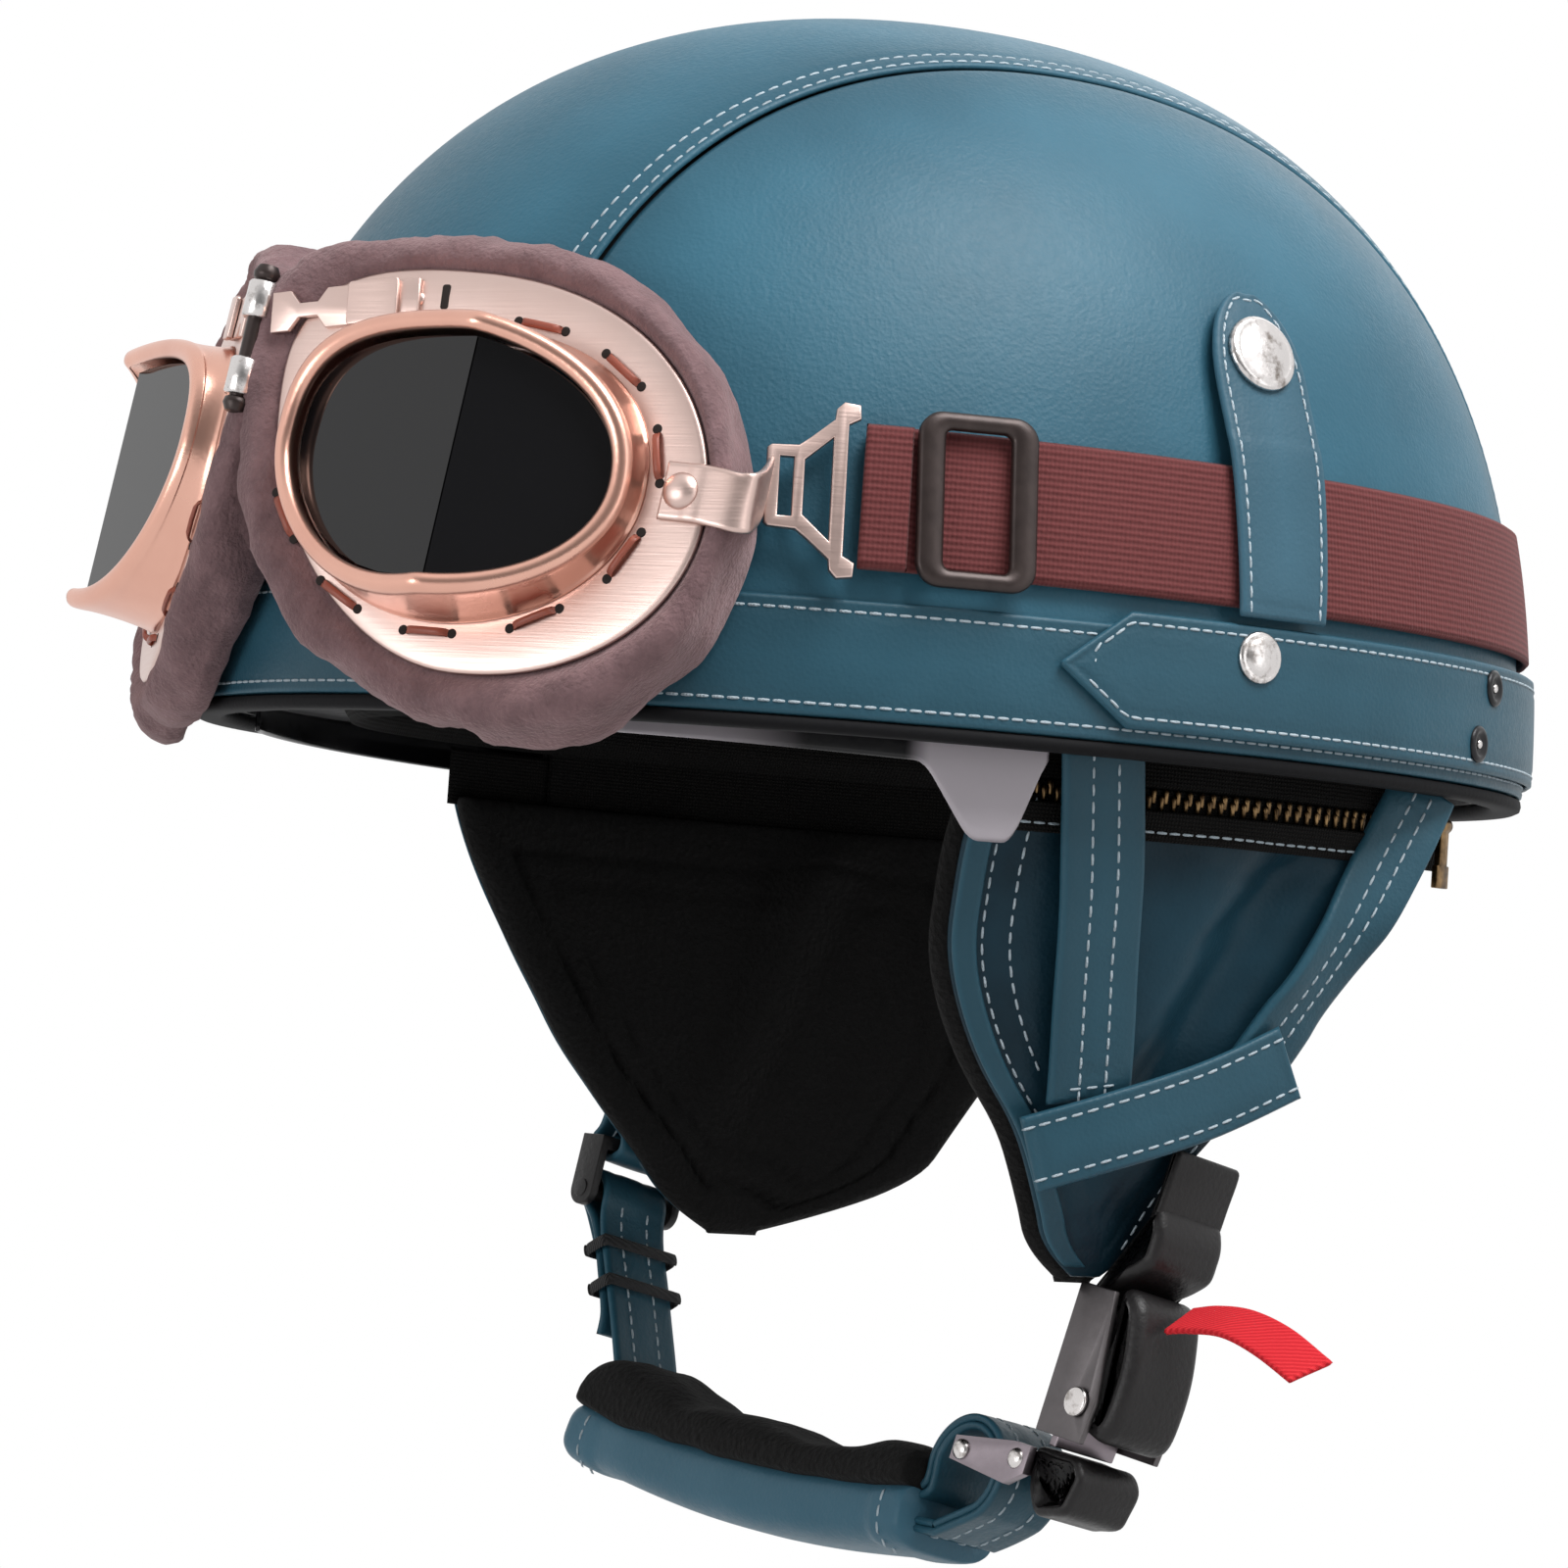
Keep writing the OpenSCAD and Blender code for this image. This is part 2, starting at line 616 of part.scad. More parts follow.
// distance of the lacing outside the lens opening
lace_out = 7;
lace_r = 0.65;
module lacing() {
    color([0.6, 0.3, 0.24])
        for (s = [-1, 1])
            lens_place(s)
                for (k = [0:lace_n - 1])
                    let (a = 80 - 270 * k / (lace_n - 1), p = oval(a, lens_w + 2 * lace_out, lens_h + 2 * lace_out),
                        q = oval(a + 6, lens_w + 2 * lace_out, lens_h + 2 * lace_out))
                        translate([p[0], -flange_t - lace_r - 0.1, p[1]])
                            rotate([0, -atan2(q[1] - p[1], q[0] - p[0]), 0])
                                rotate([0, 90, 0])
                                    cylinder(r = lace_r, h = 7, center = true, $fn = 16);
}

// strips from each flange to the hinge over the nose
arm_z = 31.5;
arm_h = 8;
arm_fall = 10;
arm_x = -(cup_x - 3.6) / cos(cup_splay);
module bridge_arms() {
    l = (-22 - arm_x) / cos(arm_fall);
    h = arm_h / 2;
    color([0.9, 0.78, 0.74])
        for (s = [-1, 1])
            cup(s)
                translate([-22, -flange_t - 0.2, arm_z])
                    rotate([90, 0, 0])
                        rotate(arm_fall)
                            linear_extrude(1.2)
                                polygon([[-l, -h], [4 - l, -h], [6 - l, 2.6 - h], [10 - l, 2.6 - h], [12 - l, -h], [0, -h],
                                    [0, h], [12 - l, h], [10 - l, h - 2.6], [6 - l, h - 2.6], [4 - l, h], [-l, h]]);
}

module bridge_pin() {
    q = turn([arm_x, -flange_t - 0.8, 0], cup_splay);
    color([0.75, 0.76, 0.8])
        goggle_frame()
            translate([0, q[1] - 0.6, arm_z + (arm_x + 22) * tan(arm_fall) - 5]) {
                cylinder(r = 3.2, h = 17, center = true);
                translate([0, 0, -11])
                    sphere(r = 3.8);
                translate([0, 0, 11])
                    sphere(r = 3.8);
            }
}

// plates that join the flanges to the hooks, with their rivets; they start clear of the lacing
plate_x = max(flange_w / 2 - 8.5, lens_w / 2 - lens_shift + lace_out + lace_r + 1);
module brackets() {
    color([0.85, 0.7, 0.65])
        for (s = [-1, 1]) {
            foot = dome_pt(0, th_y(hook_y(s)), strap_z);
            n = dome_n(foot);
            end = foot + (over_i + 1) * n + (hook_l + 0.9) * unit([n[1], -n[0], 0]);
            tip = [s * end[0], end[1], strap_z];
            root = cup_place([plate_x, -flange_t - 0.9, 0], s);
            edge = cup_place([plate_x + 8, -flange_t - 0.9, 0], s);
            bend = cup_place([plate_x + 10.6 + pad_out * 0.55, 1, 0], s);
            up = cup_place([0, 0, 1], s) - cup_place([0, 0, 0], s);
            ribbon(s > 0 ? [root, edge, bend, tip] : [tip, bend, edge, root], up, 11, 1.2);
            cup(s)
                translate([plate_x + 4, -flange_t - 1.7, 0])
                    rotate([90, 0, 0])
                        button(7, 1.8);
        }
}

// Ear flaps and harness

zip_c = [hb + eps_o - 10 - zip_r, 14];
function zip_x(y) = zip_c[0] + sqrt(zip_r * zip_r - (y - zip_c[1]) * (y - zip_c[1]));
flap_top = zip_z - 2.6;
function flap_x(y, z, d) = zip_x(y) - flap_lean * (flap_top - z) + d;
// front and rear edges of a flap by height; the right flap hangs wider at the back
flap_front_left = [[flap_z, 10], [flap_z + 4, 3], [-85, -2], [-72, -9], [-62, -18], [-50, -25], [-39, -29], [-20, -30], [0, zip_y0]];
flap_front_right = [[flap_z, 10], [flap_z + 4, 2], [-85, -7], [-72, -18], [-62, -26], [-50, -33], [-39, -40], [-20, -50], [0, zip_y0 - 26]];
flap_rear_left = [[flap_z, 16], [flap_z + 4, 22], [-78, 30], [-62, 43], [-43, 55], [flap_top, flap_y1]];
flap_rear_right = [[flap_z, 20], [flap_z + 4, 36], [-88, 58], [-62, 76], [-40, 77], [flap_top, flap_y1]];

function flap_grid(s, d, grow) = [for (r = [0:10]) let (z = mix(flap_z - grow, flap_top, r / 10),
    y0 = read(s > 0 ? flap_front_left : flap_front_right, z) - grow, y1 = read(s > 0 ? flap_rear_left : flap_rear_right, z) + grow)
    [for (c = [0:8]) let (y = mix(y0, y1, c / 8)) [flap_x(clamp(y, -60, 90), z, d), y, z]]];

module ear_flap(s) {
    color([0.24, 0.38, 0.48])
        side(s)
            skin(flap_grid(s, flap_t, 0), flap_grid(s, 0, 0));
}

module ear_linings() {
    color([0.03, 0.03, 0.03])
        for (s = [-1, 1])
            side(s)
                skin(flap_grid(s, -gap, 0.8), flap_grid(s, -gap - lining_t, 0.8));
}

// fabric wall that carries the zip under the rim
module zip_skirts() {
    a0 = asin((zip_y0 - zip_c[1]) / zip_r);
    a1 = asin((zip_y1 - zip_c[1]) / zip_r);
    color([0.07, 0.06, 0.06])
        both()
            translate([zip_c[0], zip_c[1], zip_z + 2.2])
                rotate([0, 0, a0])
                    rotate_extrude(angle = a1 - a0, $fn = 120)
                        translate([zip_r - 0.8, 0])
                            square([1.6, eps_z - gap - zip_z - 2.2]);
}

module zip_chains() {
    a0 = asin((zip_y0 - zip_c[1]) / zip_r);
    a1 = asin((zip_y1 - zip_c[1]) / zip_r);
    step = tooth_pitch / zip_r * 180 / PI;
    n = floor((a1 - a0) / step) - 1;
    color([0.5, 0.4, 0.22])
        both()
            translate([zip_c[0], zip_c[1], zip_z]) {
                rotate([0, 0, a0])
                    rotate_extrude(angle = a1 - a0, $fn = 120)
                        translate([zip_r - 0.5, -2.1])
                            square([1, 4.2]);
                for (k = [1:n])
                    rotate([0, 0, a0 + k * step])
                        translate([zip_r + 0.4, 0, k % 2 == 0 ? 0.5 : -0.5])
                            cube([1.4, 1.2, 3], center = true);
            }
}

// slider body at the rear end of the zip, with the bail for its pull
pull_a = asin((zip_y1 - 5 - zip_c[1]) / zip_r);
pull_r = zip_r + 4.6;
module zip_place(s) {
    side(s)
        translate([zip_c[0], zip_c[1], zip_z])
            rotate([0, 0, pull_a])
                children();
}

module zip_sliders() {
    color([0.45, 0.36, 0.2])
        for (s = [-1, 1])
            zip_place(s) {
                translate([zip_r + 1.5, -4.5, -3])
                    cube([1.2, 9, 6]);
                for (e = [-1, 1])
                    translate([zip_r + 2.7, e * 2.4 - 0.6, 0])
                        cube([2.2, 1.2, 2]);
                translate([pull_r, 0, 1])
                    rotate([90, 0, 0])
                        cylinder(r = 0.7, h = 6, center = true, $fn = 24);
            }
}

module zip_pull(s) {
    color([0.5, 0.4, 0.22])
        zip_place(s)
            translate([pull_r, 0, 1])
                difference() {
                    union() {
                        rotate([90, 0, 0])
                            cylinder(r = 1.5, h = 3.2, center = true, $fn = 24);
                        translate([-0.7, -1.6, -9])
                            cube([1.4, 3.2, 8.2]);
                        translate([-0.7, -2.4, -12.5])
                            cube([1.4, 4.8, 4.5]);
                    }
                    rotate([90, 0, 0])
                        cylinder(r = 0.7 + run, h = 8, center = true, $fn = 24);
                }
}

strap_y = -9;
front_strap_x = zip_x(strap_y) + 8;
cross_front = [flap_x(3, -66, flap_t + 3.2), 3, -67];
cross_rear = [flap_x(37, -61, flap_t + 3.2), 38, -62];

module front_straps() {
    top = [front_strap_x, strap_y, eps_z - gap - 1.2];
    color([0.25, 0.38, 0.47])
        both()
            ribbon([top, mix(top, cross_front, 0.35) + [1.5, 0, 0], mix(top, cross_front, 0.7) + [1, 0, 0], cross_front],
                [0, 1, -0.1], harness_w, harness_t);
}

module rear_straps() {
    top = [zip_x(flap_y1 - 4) + 5.6, flap_y1 - 2, -trim_h - 4.4];
    color([0.25, 0.38, 0.47])
        both()
            ribbon([top, mix(top, cross_rear, 0.4) + [4, 0, 0], mix(top, cross_rear, 0.75) + [1.6, 0, 0], cross_rear],
                [0, 1, 0.6], harness_w - 3, harness_t);
}

// band sewn across the foot of both harness straps
module cross_bands() {
    d = flap_t + 4.8 + harness_t;
    color([0.25, 0.38, 0.47])
        both()
            ribbon([[flap_x(-10, -78, d), -9, -78], [flap_x(4, -73, d + 1.4), 5, -73],
                [flap_x(24, -66, d + 2), 26, -65], [flap_x(44, -58, d + 2), 45, -57]],
                [0, -0.36, 1], 15, 1.8);
}

// Chin strap: drawn in its own plane, X across, Z up, Y along the swing axis

module chin_place() {
    translate([-5.5, 6, -118.5])
        rotate([-chin_rake, 0, chin_yaw])
            children();
}

pivot = [-80, 22];
strap_foot = [-61.3, -12.5];
lean = 7.3;
buckle_o = pivot + reach * [cos(lean), -sin(lean)];
// frame of the buckle: Z along the tongue, X away from the pivot
module buckle_place() {
    chin_place()
        translate([buckle_o[0], 0, buckle_o[1]])
            rotate([0, lean, 0])
                children();
}
function from_buckle(p) = buckle_o + [p[0] * cos(lean) + p[1] * sin(lean), -p[0] * sin(lean) + p[1] * cos(lean)];

// extrudes an X-Z outline to a width centred on the strap's plane
module across(w) {
    translate([0, w / 2, 0])
        rotate([90, 0, 0])
            linear_extrude(w)
                children();
}

bar_r = 2;
module strap_anchor() {
    color([0.3, 0.3, 0.31])
        chin_place()
            translate([pivot[0], 0, pivot[1]]) {
                rotate([90, 0, 0])
                    cylinder(r = bar_r, h = chin_w + 8, center = true);
                for (e = [-1, 1])
                    translate([0, e * (chin_w / 2 + 2.6), 0])
                        across(2) {
                            circle(r = 3.6);
                            translate([-3.6, 0])
                                square([7.2, 10.2]);
                        }
                translate([0, 0, 10.6])
                    across(chin_w + 7.2)
                        square([7.2, 2.8], center = true);
            }
}

strap_tilt = atan2(strap_foot[0] - pivot[0], pivot[1] - strap_foot[1]);
strap_len = norm(strap_foot - pivot);
// frame at the pivot with -Z down the strap
module strap_place() {
    chin_place()
        translate([pivot[0], 0, pivot[1]])
            rotate([0, -strap_tilt, 0])
                children();
}

module chin_strap() {
    r = bar_r + run;
    color([0.25, 0.38, 0.47])
        strap_place()
            difference() {
                union() {
                    rotate([90, 0, 0])
                        cylinder(r = r + 2, h = chin_w, center = true);
                    translate([-chin_t / 2, -chin_w / 2, -strap_len])
                        cube([chin_t, chin_w, strap_len - r - 0.8]);
                }
                rotate([90, 0, 0])
                    cylinder(r = r, h = chin_w + 2, center = true);
            }
}

module strap_keepers() {
    color([0.05, 0.05, 0.05])
        strap_place()
            for (f = [0.38, 0.62])
                translate([0, 0, -f * strap_len])
                    difference() {
                        cube([chin_t + 3, chin_w + 3, 6], center = true);
                        cube([chin_t + 0.6, chin_w + 0.6, 8], center = true);
                    }
}

// chin pad: arcs about a point above the strap
pad_c = [12, 381];
pad_r = 400;
pad_a0 = -100.6;
pad_a1 = -85.4;
module pad_arc(r0, r1, a0, a1) {
    n = 14;
    polygon(concat([for (k = [0:n]) pad_c + r0 * [cos(mix(a0, a1, k / n)), sin(mix(a0, a1, k / n))]],
        [for (k = [n:-1:0]) pad_c + r1 * [cos(mix(a0, a1, k / n)), sin(mix(a0, a1, k / n))]]));
}

module chin_fleece() {
    color([0.05, 0.05, 0.05])
        chin_place()
            across(chin_pad_w)
                pad_arc(pad_r, pad_r + fleece_t, pad_a0 + 0.2, pad_a1);
}

module chin_roll() {
    color([0.25, 0.38, 0.47])
        chin_place()
            across(chin_pad_w - 3)
                pad_arc(pad_r + fleece_t + 0.2, pad_r + fleece_t + roll_t, pad_a0, pad_a1);
}

bar_at = [-26, -25.5];
link_bar = from_buckle(bar_at);
module chin_loop() {
    end = [pad_c[0] + (pad_r + fleece_t + 6) * cos(pad_a1) + 0.4, pad_c[1] + (pad_r + fleece_t + 6) * sin(pad_a1)];
    module tear(r, wall) {
        hull() {
            translate(link_bar + [-1, -3])
                circle(r = r);
            translate(end + [wall + r * 0.45, 0])
                circle(r = r * 0.45);
        }
    }
    color([0.25, 0.38, 0.47])
        chin_place()
            across(chin_w)
                difference() {
                    tear(11, 0);
                    tear(11 - chin_t, chin_t);
                }
}

module chin_link() {
    color([0.6, 0.56, 0.59])
        buckle_place() {
            translate([bar_at[0], 0, bar_at[1]])
                rotate([90, 0, 0])
                    cylinder(r = bar_r, h = chin_w + 2 * gap + 4.4, center = true);
            for (e = [-1, 1])
                translate([0, e * (chin_w / 2 + gap + 0.9), 0])
                    across(1.8)
                        polygon([bar_at + [-3, 2.4], bar_at + [-3, -2.4], [-12, -29], [-7.4, -26], [-7.4, -20.4], [-12, -20.4]]);
            translate([-9.7, 0, -23.5])
                cube([1.8, chin_w + 2 * gap + 3.6, 5], center = true);
        }
}

// curved blade concentric with the strap's pivot, so that it slides out of the buckle as the strap swings
tongue_x = -5.2;
module tongue() {
    r = reach + tongue_x;
    color([0.6, 0.57, 0.59])
        buckle_place() {
            intersection() {
                translate([-reach, 0, 0])
                    rotate([90, 0, 0])
                        difference() {
                            cylinder(r = r + tongue_t, h = buckle_w - 6, center = true, $fn = 180);
                            cylinder(r = r, h = buckle_w, center = true, $fn = 180);
                        }
                translate([-20, -buckle_w, -19.2])
                    cube([40, 2 * buckle_w, 28]);
            }
        }
}

module tongue_grip() {
    color([0.05, 0.05, 0.05])
        buckle_place()
            across(chin_w - 1)
                polygon([[-8.6, -19.6], [3, -19.6], [6, -23], [4, -31], [-4, -33], [-8.6, -28]]);
}

// Buckle

lever_pin = [1.5, -9.5];
module buckle_hanger() {
    color([0.06, 0.06, 0.06])
        buckle_place() {
            across(buckle_w - 2 * plate_t - 2 * gap)
                difference() {
                    polygon([[-6, 10], [-3.8, 10], [-3.8, 12.6], [3.4, 17], [7.2, 20], [7.2, 27], [4.8, 30.5],
                        [1.8, 30.5], [1, 21], [-2, 17.6], [-6, 13.2]]);
                    translate([3.2, 24])
                        circle(r = 1.8);
                }
            across(buckle_w - 4)
                polygon([[2.2, 29.6], [4.8, 29.6], [5.4, 42], [2.8, 42]]);
        }
}

module buckle_body() {
    t = plate_t;
    base = tongue_x - 1.4;
    plate = [[base - t, -17], [5, -17], [6, -9], [2, 13], [base - t, 13]];
    color([0.45, 0.43, 0.44])
        buckle_place()
            difference() {
                union() {
                    for (e = [-1, 1])
                        translate([0, e * (buckle_w - t) / 2, 0])
                            across(t)
                                polygon(plate);
                    translate([base - t, -buckle_w / 2, -17])
                        cube([t, buckle_w, 30]);
                }
                translate([lever_pin[0], 0, lever_pin[1]])
                    rotate([90, 0, 0])
                        cylinder(r = pin_r + run, h = buckle_w + 8, center = true);
            }
}

module buckle_pin() {
    color([0.7, 0.7, 0.71])
        buckle_place()
            translate([lever_pin[0], 0, lever_pin[1]])
                rotate([90, 0, 0]) {
                    cylinder(r = pin_r, h = buckle_w + 1, center = true);
                    for (e = [-1, 1])
                        translate([0, 0, e * (buckle_w / 2 + 0.8)])
                            cylinder(r = pin_r + 1.4, h = 1, center = true);
                }
}

module buckle_lever() {
    w = buckle_w - 2 * plate_t - 2 * gap;
    color([0.06, 0.06, 0.06])
        buckle_place() {
            difference() {
                union() {
                    across(w)
                        polygon([[-1.8, -6], [-1.8, -11], [0, -13.4], [8, -16], [11.5, -12], [12, 0], [9, 12], [4, 14.6], [1, 14], [1, 4]]);
                    across(w)
                        polygon([[-2.2, -3], [-1, -5], [1.2, -4], [1.2, 3]]);
                }
                translate([lever_pin[0], 0, lever_pin[1]])
                    rotate([90, 0, 0])
                        cylinder(r = pin_r + run, h = buckle_w + 8, center = true);
            }
        }
}

module pull_tab() {
    color([0.9, 0.22, 0.26])
        buckle_place()
            ribbon([[9.7, 0, 11.2], [16, 0, 13], [tab_l * 0.55, 0, 14], [tab_l * 0.8, 0, 12.5], [tab_l + 2, 0, 9.5]],
                [0, 0.75, 0.66], 10, 1.4);
}

// Assembly

shell();
eps_liner();
comfort_liner();
leather_crown();
leather_sides();
rim_trim();
rim_band();
rear_band();
band_rivets();
snap_studs();
edge_strips();
keeper_tab(1);  // keeper_tab_left
keeper_tab(-1);  // keeper_tab_right
snap_cap(1);  // snap_cap_left
snap_cap(-1);  // snap_cap_right
strap_rear();
strap_front(1);  // strap_front_left
strap_front(-1);  // strap_front_right
strap_loops();
strap_slider(1);  // strap_slider_left
strap_slider(-1);  // strap_slider_right
hook(1);  // hook_left
hook(-1);  // hook_right
eyecup(1);  // eyecup_left
eyecup(-1);  // eyecup_right
bezel(1);  // bezel_left
bezel(-1);  // bezel_right
lens(1);  // lens_left
lens(-1);  // lens_right
pad(1);  // pad_left
pad(-1);  // pad_right
lacing();
bridge_arms();
bridge_pin();
brackets();
ear_flap(1);  // ear_flap_left
ear_flap(-1);  // ear_flap_right
ear_linings();
zip_skirts();
zip_chains();
zip_sliders();
zip_pull(1);  // zip_pull_left
zip_pull(-1);  // zip_pull_right
front_straps();
rear_straps();
cross_bands();
strap_anchor();
chin_strap();
strap_keepers();
chin_fleece();
chin_roll();
chin_loop();
chin_link();
tongue();
tongue_grip();
buckle_hanger();
buckle_body();
buckle_pin();
buckle_lever();
pull_tab();
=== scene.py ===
"""A half helmet in stitched blue leather, with goggles on an elastic strap, zipped ear flaps and
a padded chin strap with a lever buckle. Sizes are in millimetres, and meshes come out in metres.
The front is -Y, the wearer's left is +X, and the origin is the middle of the rim."""
import math

import bmesh
import bpy
import numpy as np
from mathutils import Matrix, Vector


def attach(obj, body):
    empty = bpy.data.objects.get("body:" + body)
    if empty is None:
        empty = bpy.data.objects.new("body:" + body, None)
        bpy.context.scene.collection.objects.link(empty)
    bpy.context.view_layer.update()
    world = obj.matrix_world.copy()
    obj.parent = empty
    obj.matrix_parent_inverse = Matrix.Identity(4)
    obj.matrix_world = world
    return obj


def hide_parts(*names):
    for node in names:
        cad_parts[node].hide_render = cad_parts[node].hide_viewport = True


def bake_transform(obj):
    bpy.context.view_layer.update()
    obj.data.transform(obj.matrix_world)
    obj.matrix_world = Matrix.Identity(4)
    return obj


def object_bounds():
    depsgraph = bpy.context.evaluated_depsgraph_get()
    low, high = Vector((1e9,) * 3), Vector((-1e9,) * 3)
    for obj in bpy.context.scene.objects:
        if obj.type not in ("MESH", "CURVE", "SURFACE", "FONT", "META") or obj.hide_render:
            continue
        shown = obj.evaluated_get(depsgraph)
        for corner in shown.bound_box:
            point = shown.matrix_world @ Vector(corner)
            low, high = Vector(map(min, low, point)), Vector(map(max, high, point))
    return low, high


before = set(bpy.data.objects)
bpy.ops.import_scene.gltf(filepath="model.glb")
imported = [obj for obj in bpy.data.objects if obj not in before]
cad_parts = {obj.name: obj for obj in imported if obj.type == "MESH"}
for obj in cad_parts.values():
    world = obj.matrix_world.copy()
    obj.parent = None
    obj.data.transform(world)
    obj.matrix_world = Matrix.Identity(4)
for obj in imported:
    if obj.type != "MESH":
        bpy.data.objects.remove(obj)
cad_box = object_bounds()
scene = bpy.context.scene
scene.view_settings.view_transform = "Standard"

# Studio
# A white floor under soft boxes, seen from the wearer's left and a little from below, with the
# picture tipped a few degrees, as the photograph is taken.
azimuth, elevation, roll = (math.radians(a) for a in (60.5, -3.0, 3.9))
back = Vector((math.sin(azimuth) * math.cos(elevation), -math.cos(azimuth) * math.cos(elevation),
               math.sin(elevation)))
right = Vector((math.cos(azimuth), math.sin(azimuth), 0))
up = back.cross(right)
camera = bpy.data.objects.new("camera", bpy.data.cameras.new("camera"))
camera.data.lens = 122.6
camera.data.shift_x = -0.0525
camera.data.shift_y = -0.018
camera.matrix_world = Matrix.Translation(back * 1.1) @ Matrix((
    right * math.cos(roll) + up * math.sin(roll), up * math.cos(roll) - right * math.sin(roll),
    back)).transposed().to_4x4()
scene.collection.objects.link(camera)
scene.camera = camera


def soft_box(name, place, size, watts):
    lamp = bpy.data.lights.new(name, "AREA")
    lamp.shape = "RECTANGLE"
    lamp.size, lamp.size_y = size
    lamp.energy = watts
    box = bpy.data.objects.new(name, lamp)
    aim = (Vector(place) - Vector((0, 0, 0.02))).to_track_quat("Z", "Y")
    box.matrix_world = Matrix.Translation(place) @ aim.to_matrix().to_4x4()
    scene.collection.objects.link(box)


soft_box("key_box", back * 0.5 + right * 0.48 + Vector((0, 0, 1.05)), (0.8, 0.6), 17)
soft_box("side_box", back * 0.8 + right * 1.2 + Vector((0, 0, 0.3)), (0.6, 1.1), 2)
soft_box("brow_box", back * 0.95 - right * 1.0 + Vector((0, 0, 0.12)), (0.7, 0.45), 5)
soft_box("rear_box", -back * 1.1 + right * 0.5 + Vector((0, 0, 0.9)), (0.9, 0.9), 2.5)


def plug_in(tree, plug, value):
    """Links a socket to an input, or sets the input's own value."""
    if isinstance(value, bpy.types.NodeSocket):
        tree.links.new(value, plug)
    else:
        plug.default_value = value


def node(tree, kind, **sets):
    """A new node of any tree; each name sets an input or a property of it."""
    n = tree.nodes.new(kind)
    for key, value in sets.items():
        plug = n.inputs.get(key.replace("_", " "))
        if plug is None:
            setattr(n, key, value)
        else:
            plug_in(tree, plug, value)
    return n


def put(tree, kind, **sets):
    return node(tree, "ShaderNode" + kind, **sets)


def maths(tree, operation, *values):
    n = put(tree, "Math", operation=operation)
    for plug, value in zip(n.inputs, values):
        plug_in(tree, plug, value)
    return n.outputs[0]


def ranged(tree, value, given, wanted=(0, 1)):
    """The value carried from one range over to another, and held within it."""
    return put(tree, "MapRange", Value=value, From_Min=given[0], From_Max=given[1],
               To_Min=wanted[0], To_Max=wanted[1]).outputs[0]


# The surroundings are white to the eye and in polished metal, with the dim end of the studio
# behind the camera, and they give an even fill light.
world = bpy.data.worlds.new("studio")
scene.world = world
world.use_nodes = True
sky = world.node_tree
ray = put(sky, "LightPath").outputs
toward = put(sky, "VectorMath", operation="DOT_PRODUCT")
sky.links.new(put(sky, "TexCoord").outputs["Generated"], toward.inputs[0])
toward.inputs[1].default_value = back
dim_end = ranged(sky, toward.outputs["Value"], (0.35, 0.9), (1.0, 0.22))
shown = maths(sky, "MAXIMUM", ray["Is Camera Ray"], ray["Is Transmission Ray"])
mirrored = maths(sky, "MULTIPLY", ray["Is Glossy Ray"], dim_end)
fill = maths(sky, "MULTIPLY", ray["Is Diffuse Ray"], 0.24)
lit = maths(sky, "MAXIMUM", maths(sky, "MAXIMUM", shown, mirrored), fill)
sky.links.new(lit, sky.nodes["Background"].inputs["Strength"])
sky.nodes["Background"].inputs["Color"].default_value = (1, 1, 1, 1)

floor_mesh = bpy.data.meshes.new("floor")
low = cad_box[0][2] - 0.12  # clear of the chin strap when it hangs open
floor_mesh.from_pydata([(-6, -6, low), (6, -6, low), (6, 6, low), (-6, 6, low)], [], [(0, 1, 2, 3)])
floor = bpy.data.objects.new("floor", floor_mesh)
scene.collection.objects.link(floor)
pale = bpy.data.materials.new("pale_floor")
pale.use_nodes = True
wash = pale.node_tree
ray = put(wash, "LightPath").outputs
away = put(wash, "VectorMath", operation="LENGTH")
wash.links.new(put(wash, "TexCoord").outputs["Object"], away.inputs[0])
fade = ranged(wash, away.outputs["Value"], (0.25, 0.7), (0.93, 1.0))
shown = maths(wash, "MAXIMUM", ray["Is Camera Ray"], ray["Is Glossy Ray"])
shown = maths(wash, "MAXIMUM", shown, ray["Is Transmission Ray"])
both = wash.nodes.new("ShaderNodeMixShader")
wash.links.new(maths(wash, "MULTIPLY", shown, fade), both.inputs[0])
wash.links.new(wash.nodes["Principled BSDF"].outputs[0], both.inputs[1])
wash.links.new(put(wash, "Emission").outputs[0], both.inputs[2])
wash.links.new(both.outputs[0], wash.nodes["Material Output"].inputs["Surface"])
wash.nodes["Principled BSDF"].inputs["Base Color"].default_value = (0.5, 0.5, 0.5, 1)
wash.nodes["Principled BSDF"].inputs["Roughness"].default_value = 0.9
floor_mesh.materials.append(pale)

# Hard shell and foam
# A moulded shell with a thick foam liner inside. Both stay covered, apart from the foam's lower
# edge between the rim and the padding, so the solids are shown as they are.
MM = 0.001  # a millimetre in the scene's metres


